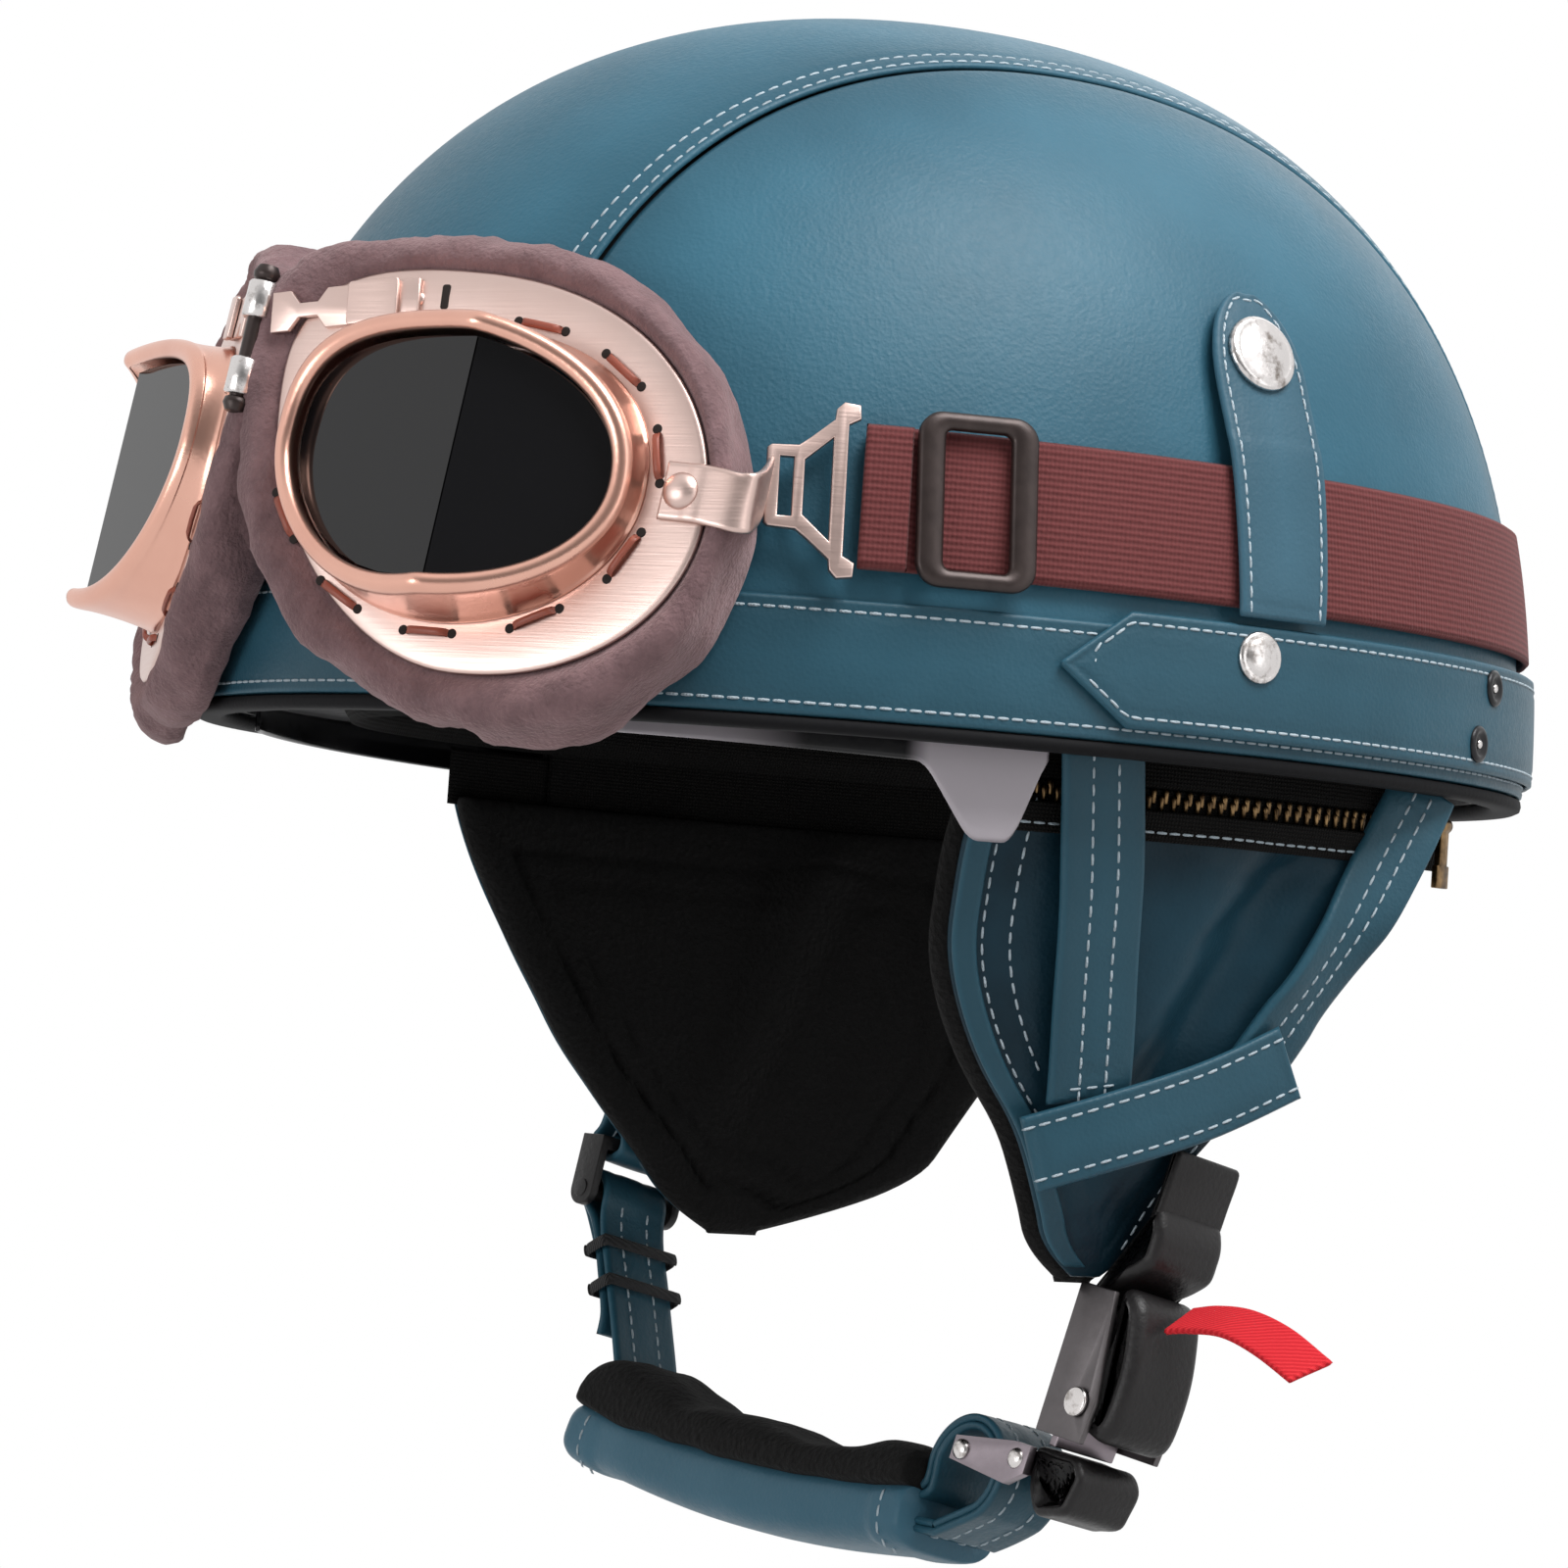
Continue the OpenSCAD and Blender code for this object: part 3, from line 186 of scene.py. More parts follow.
class Finish:
    """A material, with the nodes that give a piece its tone, its gloss and its relief."""

    def __init__(self, name, colour, rough, metal=0.0, **more):
        self.material = bpy.data.materials.new(name)
        self.material.use_nodes = True
        self.tree = self.material.node_tree
        self.skin = self.tree.nodes["Principled BSDF"].inputs
        self.spot = put(self.tree, "TexCoord").outputs["Object"]
        for label, value in dict(Base_Color=(*colour, 1), Roughness=rough, Metallic=metal, **more).items():
            self.skin[label.replace("_", " ")].default_value = value

    def put(self, kind, **sets):
        return put(self.tree, kind, **sets).outputs[0]

    def noise(self, scale, **more):
        return self.put("TexNoise", Vector=more.pop("Vector", self.spot), Scale=scale, **more)

    def edge(self):
        """How far a place lies from the piece's edge, as the mesh says; on the clear strips it carries painted light
        and shade.
        """
        return put(self.tree, "Attribute", attribute_name="edge").outputs["Fac"]

    def mix(self, share, a, b, how="MIX"):
        n = put(self.tree, "Mix", data_type="RGBA", blend_type=how)
        for k, value in ((0, share), (6, a), (7, b)):
            plug_in(self.tree, n.inputs[k], (*value, 1) if isinstance(value, tuple) else value)
        return n.outputs[2]

    def tone(self, share, a, b, how="MIX"):
        """Colour from a to b by that share."""
        self.tree.links.new(self.mix(share, a, b, how), self.skin["Base Color"])

    def gloss(self, value, wanted, given=(0, 1)):
        """Roughness within the wanted range."""
        self.tree.links.new(ranged(self.tree, value, given, wanted), self.skin["Roughness"])

    def bump(self, height, depth):
        """Relief of that depth in millimetres, on top of what there is."""
        n = put(self.tree, "Bump", Height=height, Distance=depth * MM, Strength=1.0)
        if self.skin["Normal"].is_linked:
            self.tree.links.new(self.skin["Normal"].links[0].from_socket, n.inputs["Normal"])
        self.tree.links.new(n.outputs[0], self.skin["Normal"])

    def coat(self, mesh):
        mesh.materials.clear()
        mesh.materials.append(self.material)


shell_black = Finish("shell_black", (0.02, 0.02, 0.022), 0.4)
shell_black.bump(shell_black.noise(400.0), 0.2)
foam_black = Finish("foam_black", (0.03, 0.03, 0.032), 0.85)
beads = foam_black.put("TexVoronoi", Vector=foam_black.spot, Scale=280.0)
foam_black.tone(beads, (0.045, 0.045, 0.048), (0.012, 0.012, 0.013))
foam_black.bump(beads, 0.5)
for name, look in (("shell", shell_black), ("eps_liner", foam_black)):
    look.coat(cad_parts[name].data)

# Leather cover
# Three panels of thin blue leather over the dome: a crown piece from brow to nape lapped over
# two side pieces, and held by two rows of white thread inside each of its edges.
dome_w, dome_l, dome_h = 116, 138, 149  # half width, half length and height over the leather
plan_e, rise_e = 2.1, 2.35  # how square it is in plan and up its sides


def power(v, e):
    return np.sign(v) * np.abs(v) ** e


def dome(off, th, z):
    """Points of the dome grown by off, at plan angle th and height z."""
    off, th, z = np.broadcast_arrays(*(np.asarray(v, float) for v in (off, th, z)))
    k = np.where(z > 0, np.maximum(0, 1 - (np.maximum(z, 0) / (dome_h + off)) ** rise_e) ** (1 / rise_e), 1)
    x = (dome_w + off) * k * power(np.cos(th), 2 / plan_e)
    y = (dome_l + off) * k * power(np.sin(th), 2 / plan_e)
    return np.stack([x, y, z], -1)


def swell(p, off=0):
    """1 on the dome grown by off, more outside it and less inside."""
    x, y = np.abs(p[..., 0]) / (dome_w + off), np.abs(p[..., 1]) / (dome_l + off)
    return (x ** plan_e + y ** plan_e) ** (rise_e / plan_e) + (np.maximum(p[..., 2], 0) / (dome_h + off)) ** rise_e


def dome_normal(p):
    g = np.stack([swell(p + d) - swell(p - d) for d in np.eye(3) * 0.05], -1)
    return g / np.maximum(np.linalg.norm(g, axis=-1, keepdims=True), 1e-12)


def plan_angle(y):
    return np.arcsin(power(np.asarray(y, float) / dome_l, plan_e / 2))


def graded(a, b, n):
    """n places from a to b, closer together at both ends."""
    t = np.linspace(0, 1, n)
    return a + (b - a) * (0.25 * t + 0.75 * (1 - np.cos(np.pi * t)) / 2)


def ripple(p, wave, seed):
    """Smooth unevenness between about -1 and 1, the same in every run."""
    pick = np.random.default_rng(seed)
    out = 0
    for k in range(9):
        d = pick.normal(size=3)
        out = out + np.sin(p @ (d / np.linalg.norm(d)) * 2 * np.pi / (wave * pick.uniform(0.6, 1.7))
                           + pick.uniform(0, 6.3))
    return out / 4


class Sheet:
    """A closed sheet t thick on the grid P, with its face edges rounded over and grooves at set
    distances from its edges. Rows run across it and columns along it."""

    def __init__(self, P, N, t, edge, ring=False, grooves=(), lift=0):
        rows, cols = P.shape[:2]
        self.across = np.vstack([np.zeros((1, cols)), np.cumsum(np.linalg.norm(np.diff(P, axis=0), axis=2), 0)])
        self.along = np.hstack([np.zeros((rows, 1)), np.cumsum(np.linalg.norm(np.diff(P, axis=1), axis=2), 1)])
        d = np.minimum(self.across, self.across[-1] - self.across)
        if not ring:
            d = np.minimum(d, np.minimum(self.along, self.along[:, -1:] - self.along))
        full = np.sqrt(1 - (1 - np.clip(d / edge, 0, 1)) ** 2)
        top = t / 2 * (1 + full) + lift * full
        for at, deep in grooves:
            top = top - deep * np.exp(-((d - at) / 0.8) ** 2)
        self.N = N
        self.face = P + N * top[..., None]
        under = P + N * (t / 2 * (1 - full))[..., None]
        index = np.arange(rows * cols).reshape(rows, cols)
        low = index + rows * cols
        rim = np.zeros((rows, cols), bool)
        rim[[0, -1]] = True
        if not ring:
            rim[:, [0, -1]] = True
        low = np.where(rim, index, low)
        c = np.arange(cols if ring else cols - 1)
        quads = []
        for g, turn in ((index, 1), (low, -1)):
            a, b = g[:-1, c], g[:-1, (c + 1) % cols]
            e, f = g[1:, (c + 1) % cols], g[1:, c]
            quads.append(np.stack([a, b, e, f][::turn], -1).reshape(-1, 4))
        used, faces = np.unique(np.concatenate(quads), return_inverse=True)

        def both(up, down):
            return np.concatenate([up.reshape(rows * cols, -1), down.reshape(rows * cols, -1)])[used]

        self.verts = both(self.face, under)
        self.faces = faces.reshape(-1, 4)
        lay = np.stack([self.along, self.across], -1)
        self.cut = both(lay, lay)
        # edge climbs from 0 at the sheet's edge to 1 at 18 mm in; the leathers use it for pale worn cut edges and for
        # painted shade beside them
        self.edge = both(np.clip(d / 18, 0, 1), np.ones_like(d))[:, 0]
        v = self.verts[self.faces]
        turned = np.cross(v[:, 1] - v[:, 0], v[:, 2] - v[:, 0]) + np.cross(v[:, 2] - v[:, 0], v[:, 3] - v[:, 0])
        if (v[:, 0] * turned).sum() < 0:
            self.faces = self.faces[:, ::-1]

    def line(self, at, lengthwise=True, keep=slice(None)):
        """The line on the face at that distance from an edge; below 0 it counts from the far one."""
        s, face, N = (self.across, self.face, self.N) if lengthwise else (
            self.along.T, self.face.swapaxes(0, 1), self.N.swapaxes(0, 1))
        pts, outs = [], []
        for c in range(s.shape[1]):
            if s[-1, c] > abs(at) * 2.02:
                x = at if at >= 0 else s[-1, c] + at
                pts.append([np.interp(x, s[:, c], face[:, c, k]) for k in range(3)])
                outs.append([np.interp(x, s[:, c], N[:, c, k]) for k in range(3)])
        return np.array(pts)[keep], np.array(outs)[keep]


def assemble(name, mesh, body, stands_for, slot):
    """Puts a finished mesh on its body, in place of the solids that it stands for."""
    obj = bpy.data.objects.new(name, mesh)
    scene.collection.objects.link(obj)
    if body:
        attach(obj, body)
    if stands_for:
        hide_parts(*stands_for)
    return obj


def piece(name, verts, faces, look, body, stands_for=(), slot=None, cut=None, edge=None, flat=None):
    """A finished piece from points in millimetres, turned right side out. It may carry its lay as cut out flat,
    its distance from the edge (painted light and shade on the clear strips) and the angle above which its edges stay
    sharp."""
    mesh = bpy.data.meshes.new(name)
    mesh.from_pydata((np.asarray(verts, float) * MM).tolist(), [], [list(f) for f in faces])
    if cut is not None:
        layer = mesh.uv_layers.new(name="cut")
        corner = np.zeros(len(mesh.loops), int)
        mesh.loops.foreach_get("vertex_index", corner)
        layer.data.foreach_set("uv", (np.asarray(cut)[corner] * MM).ravel())
    if edge is not None:
        mesh.attributes.new("edge", "FLOAT", "POINT").data.foreach_set("value", np.asarray(edge, np.float32))
    work = bmesh.new()
    work.from_mesh(mesh)
    bmesh.ops.remove_doubles(work, verts=work.verts, dist=1e-6)
    if work.calc_volume(signed=True) < 0:
        bmesh.ops.reverse_faces(work, faces=work.faces)
    work.to_mesh(mesh)
    work.free()
    mesh.polygons.foreach_set("use_smooth", [True] * len(mesh.polygons))
    if flat:
        mesh.set_sharp_from_angle(angle=math.radians(flat))
    look.coat(mesh)
    return assemble(name, mesh, body, stands_for, slot)


def sheet_piece(name, sheets, look, body, stands_for=(), slot=None, keep="edge"):
    """One piece of several sheets, which keeps their edge values, their cut or neither."""
    start = np.cumsum([0] + [len(s.verts) for s in sheets])
    verts = np.concatenate([s.verts for s in sheets])
    faces = np.concatenate([s.faces + k for s, k in zip(sheets, start)]).tolist()
    kept = {keep: np.concatenate([getattr(s, keep) for s in sheets])} if keep else {}
    return piece(name, verts, faces, look, body, stands_for, slot, **kept)


def leather(name, dark, light, rough, gloss=0.28):
    """Grained leather with cloudy colour, worn pale along cut edges, and darkened beside them partly by burnish and
    partly by painted shade.
    """
    hide = Finish(name, light, rough, Specular_IOR_Level=gloss)
    spread = ranged(hide.tree, hide.noise(22.0, Detail=5.0), (0.3, 0.72))
    edge = hide.edge()
    burnt = ranged(hide.tree, edge, (0.02, 0.07), (1.3, 1.0))
    # painted shade with burnish: the leather darkens over the last 18 mm towards every edge and seam
    burnish_and_painted_shade = ranged(hide.tree, edge, (0.05, 1.0), (0.74, 1.0))
    shade = maths(hide.tree, "MULTIPLY", burnt, burnish_and_painted_shade)
    shade = hide.put("CombineColor", Red=shade, Green=shade, Blue=shade)
    hide.tone(1.0, hide.mix(spread, dark, light), shade, "MULTIPLY")
    pores = hide.put("TexVoronoi", Vector=hide.spot, Scale=1150.0, Randomness=1.0)
    creases = hide.noise(620.0, Detail=6.0, Roughness=0.65)
    hide.gloss(creases, (rough - 0.1, rough + 0.14))
    hide.bump(pores, 0.05)
    hide.bump(creases, 0.1)
    return hide


cover_blue = leather("cover_leather", (0.022, 0.098, 0.148), (0.038, 0.142, 0.208), 0.44)


def crown_curve(off, x, f):
    """The fore-and-aft curve of the dome at distance x from the middle."""
    k = (np.abs(x) / (dome_w + off)) ** plan_e
    z = (dome_h + off) * (1 - k ** (rise_e / plan_e)) ** (1 / rise_e) * np.sin(f)
    y = (dome_l + off) * np.maximum(0, (1 - (z / (dome_h + off)) ** rise_e) ** (plan_e / rise_e) - k) ** (1 / plan_e)
    return np.stack(np.broadcast_arrays(x, np.where(f < np.pi / 2, -y, y), z), -1)


turns = np.linspace(0, np.pi, 201)
P = crown_curve(-1.4, graded(-59.7, 59.7, 57)[:, None], turns[None])
crown = Sheet(P, dome_normal(P), 1.7, 1.1, grooves=((1.8, 0.3), (5.2, 0.3)))
sheet_piece("leather_cover_crown", [crown], cover_blue, "helmet", ["leather_crown"], "cover_leather")
sides = []
for s in (1, -1):
    x = 60.3 + (114.6 - 60.3) * np.sin(np.linspace(0, np.pi / 2, 44)) ** 1.15
    P = crown_curve(-1.4, x[:, None], turns[None]) * (s, 1, 1)
    sides.append(Sheet(P, dome_normal(P), 1.4, 2.2))
sheet_piece("leather_cover_sides", sides, cover_blue, "helmet", ["leather_sides"], "cover_leather")

# Thread
# Bonded white thread, sewn at an even pitch. Each visible stitch is a short fat grain that dips
# into the leather at both ends.
thread_white = Finish("white_thread", (0.47, 0.56, 0.62), 0.6)
thread_white.bump(thread_white.put("TexWave", Vector=thread_white.spot, Scale=900.0, Distortion=2.0), 0.15)


def node_tree(name, sizes):
    tree = bpy.data.node_groups.new(name, "GeometryNodeTree")
    tree.interface.new_socket("Geometry", in_out="OUTPUT", socket_type="NodeSocketGeometry")
    tree.interface.new_socket("Geometry", in_out="INPUT", socket_type="NodeSocketGeometry")
    for label, kind in sizes:
        tree.interface.new_socket(label, in_out="INPUT", socket_type="NodeSocket" + kind)
    return tree, tree.nodes.new("NodeGroupInput").outputs, tree.nodes.new("NodeGroupOutput").inputs


def set_out(tree, given, points, along, result):
    """Ends a tree: its form stands outward on every point, is made real and gets its finish."""
    outward = node(tree, "GeometryNodeInputNamedAttribute", data_type="FLOAT_VECTOR", Name="out").outputs[0]
    stand = node(tree, "FunctionNodeAlignRotationToVector", axis="Z", Vector=outward).outputs[0]
    turn = node(tree, "FunctionNodeAlignRotationToVector", axis="X", pivot_axis="Z", Rotation=stand, Vector=along)
    form = node(tree, "GeometryNodeObjectInfo", Object=given["Form"])
    placed = node(tree, "GeometryNodeInstanceOnPoints", Points=points, Instance=form.outputs["Geometry"],
                  Rotation=turn.outputs[0])
    real = node(tree, "GeometryNodeRealizeInstances", Geometry=placed.outputs[0])
    coat = node(tree, "GeometryNodeSetMaterial", Geometry=real.outputs[0], Material=given["Finish"])
    tree.links.new(coat.outputs[0], result["Geometry"])


sewing, given, result = node_tree("sewing", (("Pitch", "Float"), ("Form", "Object"), ("Finish", "Material")))
row = node(sewing, "GeometryNodeMeshToCurve", Mesh=given["Geometry"])
steps = node(sewing, "GeometryNodeResampleCurve", mode="LENGTH", Curve=row.outputs[0], Length=given["Pitch"])
set_out(sewing, given, steps.outputs[0], node(sewing, "GeometryNodeInputTangent").outputs[0], result)


forms = []


def turned_form(name, profile, n=24):
    """A round form from a profile of radius and height, on the axis Z."""
    verts, faces = [], []
    for r, z in profile:
        verts += [(r * math.cos(2 * math.pi * k / n), r * math.sin(2 * math.pi * k / n), z) for k in range(n)]
    for a in range(len(profile) - 1):
        faces += [(a * n + k, a * n + (k + 1) % n, (a + 1) * n + (k + 1) % n, (a + 1) * n + k) for k in range(n)]
    faces += [list(range(n))[::-1], list(range((len(profile) - 1) * n, len(profile) * n))]
    return loose_form(name, verts, faces)


def loose_form(name, verts, faces):
    """A mesh that only the node trees set in place; it is removed at the end."""
    mesh = bpy.data.meshes.new(name)
    mesh.from_pydata((np.asarray(verts, float) * MM).tolist(), [], faces)
    mesh.polygons.foreach_set("use_smooth", [True] * len(mesh.polygons))
    obj = bpy.data.objects.new(name, mesh)
    scene.collection.objects.link(obj)
    forms.append(obj)
    return obj


def grain(name, long, thick):
    """A stitch: six-sided, thickest in the middle, its ends sunk."""
    verts, faces = [], []
    for x, w in ((-0.5, 0.25), (-0.34, 0.85), (0, 1), (0.34, 0.85), (0.5, 0.25)):
        for k in range(6):
            a = math.pi * k / 3
            verts.append((x * long, math.cos(a) * w * thick / 2,
                          (math.sin(a) * 0.42 * w + 0.12 - 1.1 * (x * 1.7) ** 4) * thick))
    for j in range(4):
        faces += [(j * 6 + k, j * 6 + (k + 1) % 6, j * 6 + 6 + (k + 1) % 6, j * 6 + 6 + k) for k in range(6)]
    return loose_form(name, verts, faces + [tuple(range(6))[::-1], tuple(range(24, 30))])


stitch = grain("stitch_form", 2.75, 0.58)


def run_tree(name, tree, values, verts, edges, extras, body, slot, stands_for):
    """Runs a node tree on points and edges, and keeps its result as a plain piece."""
    mesh = bpy.data.meshes.new(name)
    mesh.from_pydata((np.asarray(verts, float) * MM).tolist(), edges, [])
    for label, vectors in extras.items():
        layer = mesh.attributes.new(label, "FLOAT_VECTOR", "POINT")
        layer.data.foreach_set("vector", np.asarray(vectors, np.float32).ravel())
    source = bpy.data.objects.new(name + "_rows", mesh)
    scene.collection.objects.link(source)
    change = source.modifiers.new("rows", "NODES")
    change.node_group = tree
    for plug in tree.interface.items_tree:
        if plug.item_type == "SOCKET" and plug.in_out == "INPUT" and plug.name in values:
            change[plug.identifier] = values[plug.name]
    made = bpy.data.meshes.new_from_object(source.evaluated_get(bpy.context.evaluated_depsgraph_get()))
    bpy.data.objects.remove(source)
    made.name = name
    for label in list(extras):
        if label in made.attributes:
            made.attributes.remove(made.attributes[label])
    return assemble(name, made, body, stands_for, slot)


def sew(name, lines, body, slot, pitch=3.2, form=stitch, look=thread_white, stands_for=()):
    """Stitches along lines, each given as points on the leather and their outward directions."""
    verts, outs, edges = [], [], []
    for pts, dirs in lines:
        edges += [(len(verts) + k, len(verts) + k + 1) for k in range(len(pts) - 1)]
        verts += list(pts)
        outs += list(dirs)
    return run_tree(name, sewing, {"Pitch": pitch * MM, "Form": form, "Finish": look.material}, verts, edges,
                    {"out": outs}, body, slot, stands_for)


sew("crown_stitching", [crown.line(at) for at in (1.8, 5.2, -1.8, -5.2)], "helmet", "cover_leather")

# Rim binding, rim band and rear band
# A rubber lip closes the shell's edge. A leather band is sewn round the rim, and a second one
# with pointed tips runs round the back over it, riveted through.
rubber = Finish("rim_rubber", (0.006, 0.006, 0.007), 0.75, Specular_IOR_Level=0.15)
rubber.bump(rubber.noise(700.0), 0.12)


def loft(sections, closed=False, capped=True):
    """Points and faces through matching closed sections; open ends are capped with fans."""
    S = np.asarray(sections, float)
    K, J = S.shape[:2]
    verts = S.reshape(-1, 3)
    j = np.arange(J)
    faces = [(k * J + a, k * J + (a + 1) % J, (k + 1) % K * J + (a + 1) % J, (k + 1) % K * J + a)
             for k in range(K if closed else K - 1) for a in j]
    if not closed and capped:
        verts = np.vstack([verts, S[0].mean(0), S[-1].mean(0)])
        last = (K - 1) * J
        faces += [((a + 1) % J, a, K * J) for a in j]
        faces += [(last + a, last + (a + 1) % J, K * J + 1) for a in j]
    return verts, faces


def full_turn(n):
    return np.linspace(0, 2 * np.pi, n + 1)[:-1]


ring = full_turn(240)
lip = [(-4.8, -0.5), (-4.5, -2.2), (-3.6, -2.75), (0.6, -2.75), (1.5, -2.3), (1.7, -1.4), (1.5, -0.4), (0.8, -0.25),
       (-4.2, -0.25)]
verts, faces = loft([[dome(o, t, z) for o, z in lip] for t in ring], closed=True)
piece("rim_lip", verts, faces, rubber, "helmet", ["rim_trim"], "trim_rubber")

trim_blue = leather("trim_leather", (0.017, 0.077, 0.115), (0.032, 0.112, 0.162), 0.43)
P = dome(0.5, ring[None], graded(0, 22, 19)[:, None])
P = P + dome_normal(P) * (0.12 * ripple(P, 26, 3))[..., None]
rim = Sheet(P, dome_normal(P), 1.25, 1.0, ring=True, grooves=((2.4, 0.3),), lift=0.15)
sheet_piece("rim_band_leather", [rim], trim_blue, "helmet", ["rim_band"], "trim_leather")

tip, full = plan_angle(-26), plan_angle(-12)
th = np.concatenate([np.linspace(tip, full, 26)[:-1], np.linspace(full, np.pi - full, 180),
                     np.linspace(np.pi - full, np.pi - tip, 26)[1:]])
half = 0.3 + (11 - 0.3) * np.clip((np.minimum(th, np.pi - th) - tip) / (full - tip), 0, 1)
P = dome(2.2, th[None], 13.5 + half[None] * graded(-1, 1, 17)[:, None])
rear = Sheet(P, dome_normal(P), 1.35, 1.0, grooves=((2.2, 0.3),), lift=0.1)
sheet_piece("rear_band_leather", [rear], trim_blue, "helmet", ["rear_band"], "trim_leather")
low_row, high_row = (rear.line(at, keep=slice(7, -7)) for at in (2.2, -2.2))
loop = [np.concatenate([a, b[::-1], (a[:1] + 2 * b[:1]) / 3]) for a, b in zip(low_row, high_row)]
rounds = [tuple(np.vstack([v, v[:1]]) for v in rim.line(at)) for at in (2.4, -2.4)]
sew("band_stitching", [loop] + rounds, "helmet", "trim_leather", 2.8)

nickel = Finish("nickel", (0.6, 0.585, 0.57), 0.22, 1.0)
tarnish = nickel.noise(260.0, Detail=6.0, Roughness=0.7)
nickel.tone(ranged(nickel.tree, tarnish, (0.52, 0.68)), (0.66, 0.63, 0.62), (0.2, 0.17, 0.15))
nickel.gloss(tarnish, (0.12, 0.4))
nickel.bump(nickel.noise(420.0), 0.12)

fixing, given, result = node_tree("fixing", (("Form", "Object"), ("Finish", "Material")))
spots = node(fixing, "GeometryNodeMeshToPoints", Mesh=given["Geometry"])
sideways = node(fixing, "GeometryNodeInputNamedAttribute", data_type="FLOAT_VECTOR", Name="run")
set_out(fixing, given, spots.outputs[0], sideways.outputs[0], result)


def fix(name, form, look, pts, outs, runs, body, slot, stands_for=()):
    """Forms set one on each point, upright along outs and turned along runs."""
    return run_tree(name, fixing, {"Form": form, "Finish": look.material}, pts, [], {"out": outs, "run": runs}, body,
                    slot, stands_for)


def seat(y, z, off, s=1):
    """A place on the dome at a fore-and-aft distance y and height z, with its outward direction."""
    p = dome(0, plan_angle(y), z)
    n = dome_normal(p)
    return (p + off * n) * (s, 1, 1), n * (s, 1, 1)


rivet = turned_form("rivet_form", [(0.2, -0.6), (4.6, -0.6), (5, -0.1), (5, 0.35), (4.75, 0.7), (4.2, 0.85),
                                   (3.9, 0.8), (3.6, 1.0), (2.4, 1.45), (1.1, 1.65), (0.15, 1.7)])
eyelet = turned_form("eyelet_form", [(0.2, -0.6), (3.4, -0.6), (3.7, -0.1), (3.6, 0.4), (3.0, 0.75), (2.4, 0.65),
                                     (1.9, 0.1), (0.15, 0.1)])
eye_stud = turned_form("eyelet_stud_form", [(0.15, 0), (1.0, 0), (0.9, 0.45), (0.5, 0.7), (0.1, 0.75)], 12)
eyelet_black = Finish("eyelet_black", (0.018, 0.018, 0.02), 0.35, 0.6)
eyelet_black.bump(eyelet_black.noise(420.0), 0.1)
stud = turned_form("stud_form", [(0.2, -0.1), (4.5, -0.1), (4.5, 0.3), (3.2, 0.6), (2.6, 1.3), (1.5, 1.5),
                                 (0.15, 1.5)])
set_at = [seat(16, 18.3, 3.7, s) for s in (1, -1)]
fix("band_rivet_heads", rivet, nickel, *zip(*set_at), [(0, 0, 1)] * 2, "helmet", "nickel", ["band_rivets"])
set_at = [seat(y, z, 3.7, s) for s in (1, -1) for y, z in ((80, 8), (86, 19.5))]
fix("eyelet_rings", eyelet, eyelet_black, *zip(*set_at), [(0, 0, 1)] * 4, "helmet", "dark_bronze")
fix("eyelet_studs", eye_stud, nickel, *zip(*set_at), [(0, 0, 1)] * 4, "helmet", "nickel")
set_at = [seat(21, 76, 0.3, s) for s in (1, -1)]
fix("snap_studs_turned", stud, nickel, *zip(*set_at), [(0, 0, 1)] * 2, "helmet", "nickel", ["snap_studs"])

# Keeper tabs
# A leather tab on each side folds up over the goggle strap and snaps to the shell. Its edge is
# sewn round, and the snap has a plain domed cap with a rolled rim.
both_sides = ((1, "left"), (-1, "right"))
keeper_blue = leather("keeper_leather", (0.034, 0.112, 0.165), (0.058, 0.152, 0.215), 0.46)
cap_form = turned_form("snap_cap_form", [(0.2, -0.9), (7.0, -0.9), (7.6, -0.5), (7.75, 0.1), (7.55, 0.8), (6.9, 1.15),
                                         (6.3, 1.2), (6.0, 1.15), (5.2, 1.4), (3.4, 1.75), (1.6, 1.92),
                                         (0.15, 1.95)], 40)
for s, side in both_sides:
    round_end = 80 + 9 * np.sin(np.linspace(0, np.pi / 2, 14))
    z = np.concatenate([graded(25.8, 60, 26)[:-1], np.linspace(60, 80, 16)[:-1], round_end])
    wide = np.interp(z, [25, 72], [10.2, 12.0]) * np.sqrt(np.maximum(0.02, 1 - (np.maximum(z - 72, 0) / 17.2) ** 2.2))
    stand = np.interp(z, [25.8, 27.5, 33, 55.5, 61, 67, 89], [4.0, 4.3, 4.35, 4.35, 3.7, 2.75, 2.35])
    stand = np.convolve(np.pad(stand, 3, mode="edge"), np.ones(7) / 7, "valid") - 0.9
    y = 21 + wide[None] * graded(-1, 1, 17)[:, None]
    P = dome(stand[None], plan_angle(y), z[None])
    N = dome_normal(P)
    P, N = P * (s, 1, 1), N * (s, 1, 1)
    tab = Sheet(P, N, 1.8, 1.1, grooves=((2.1, 0.3),), lift=0.1)
    body = "keeper_" + side
    sheet_piece("keeper_leather_" + side, [tab], keeper_blue, body, ["keeper_tab_" + side], "keeper_leather")
    rows = (tab.line(at, keep=slice(3, -3)) for at in (2.1, -2.1))
    path = [np.concatenate([a, b[::-1]]) for a, b in zip(*rows)]
    sew("keeper_stitching_" + side, [path], body, "keeper_leather", 2.8)
    at, out = seat(21, 76, 3.95, s)
    fix("snap_cap_domed_" + side, cap_form, nickel, [at], [out], [(0, 0, 1)], body, "nickel", ["snap_cap_" + side])

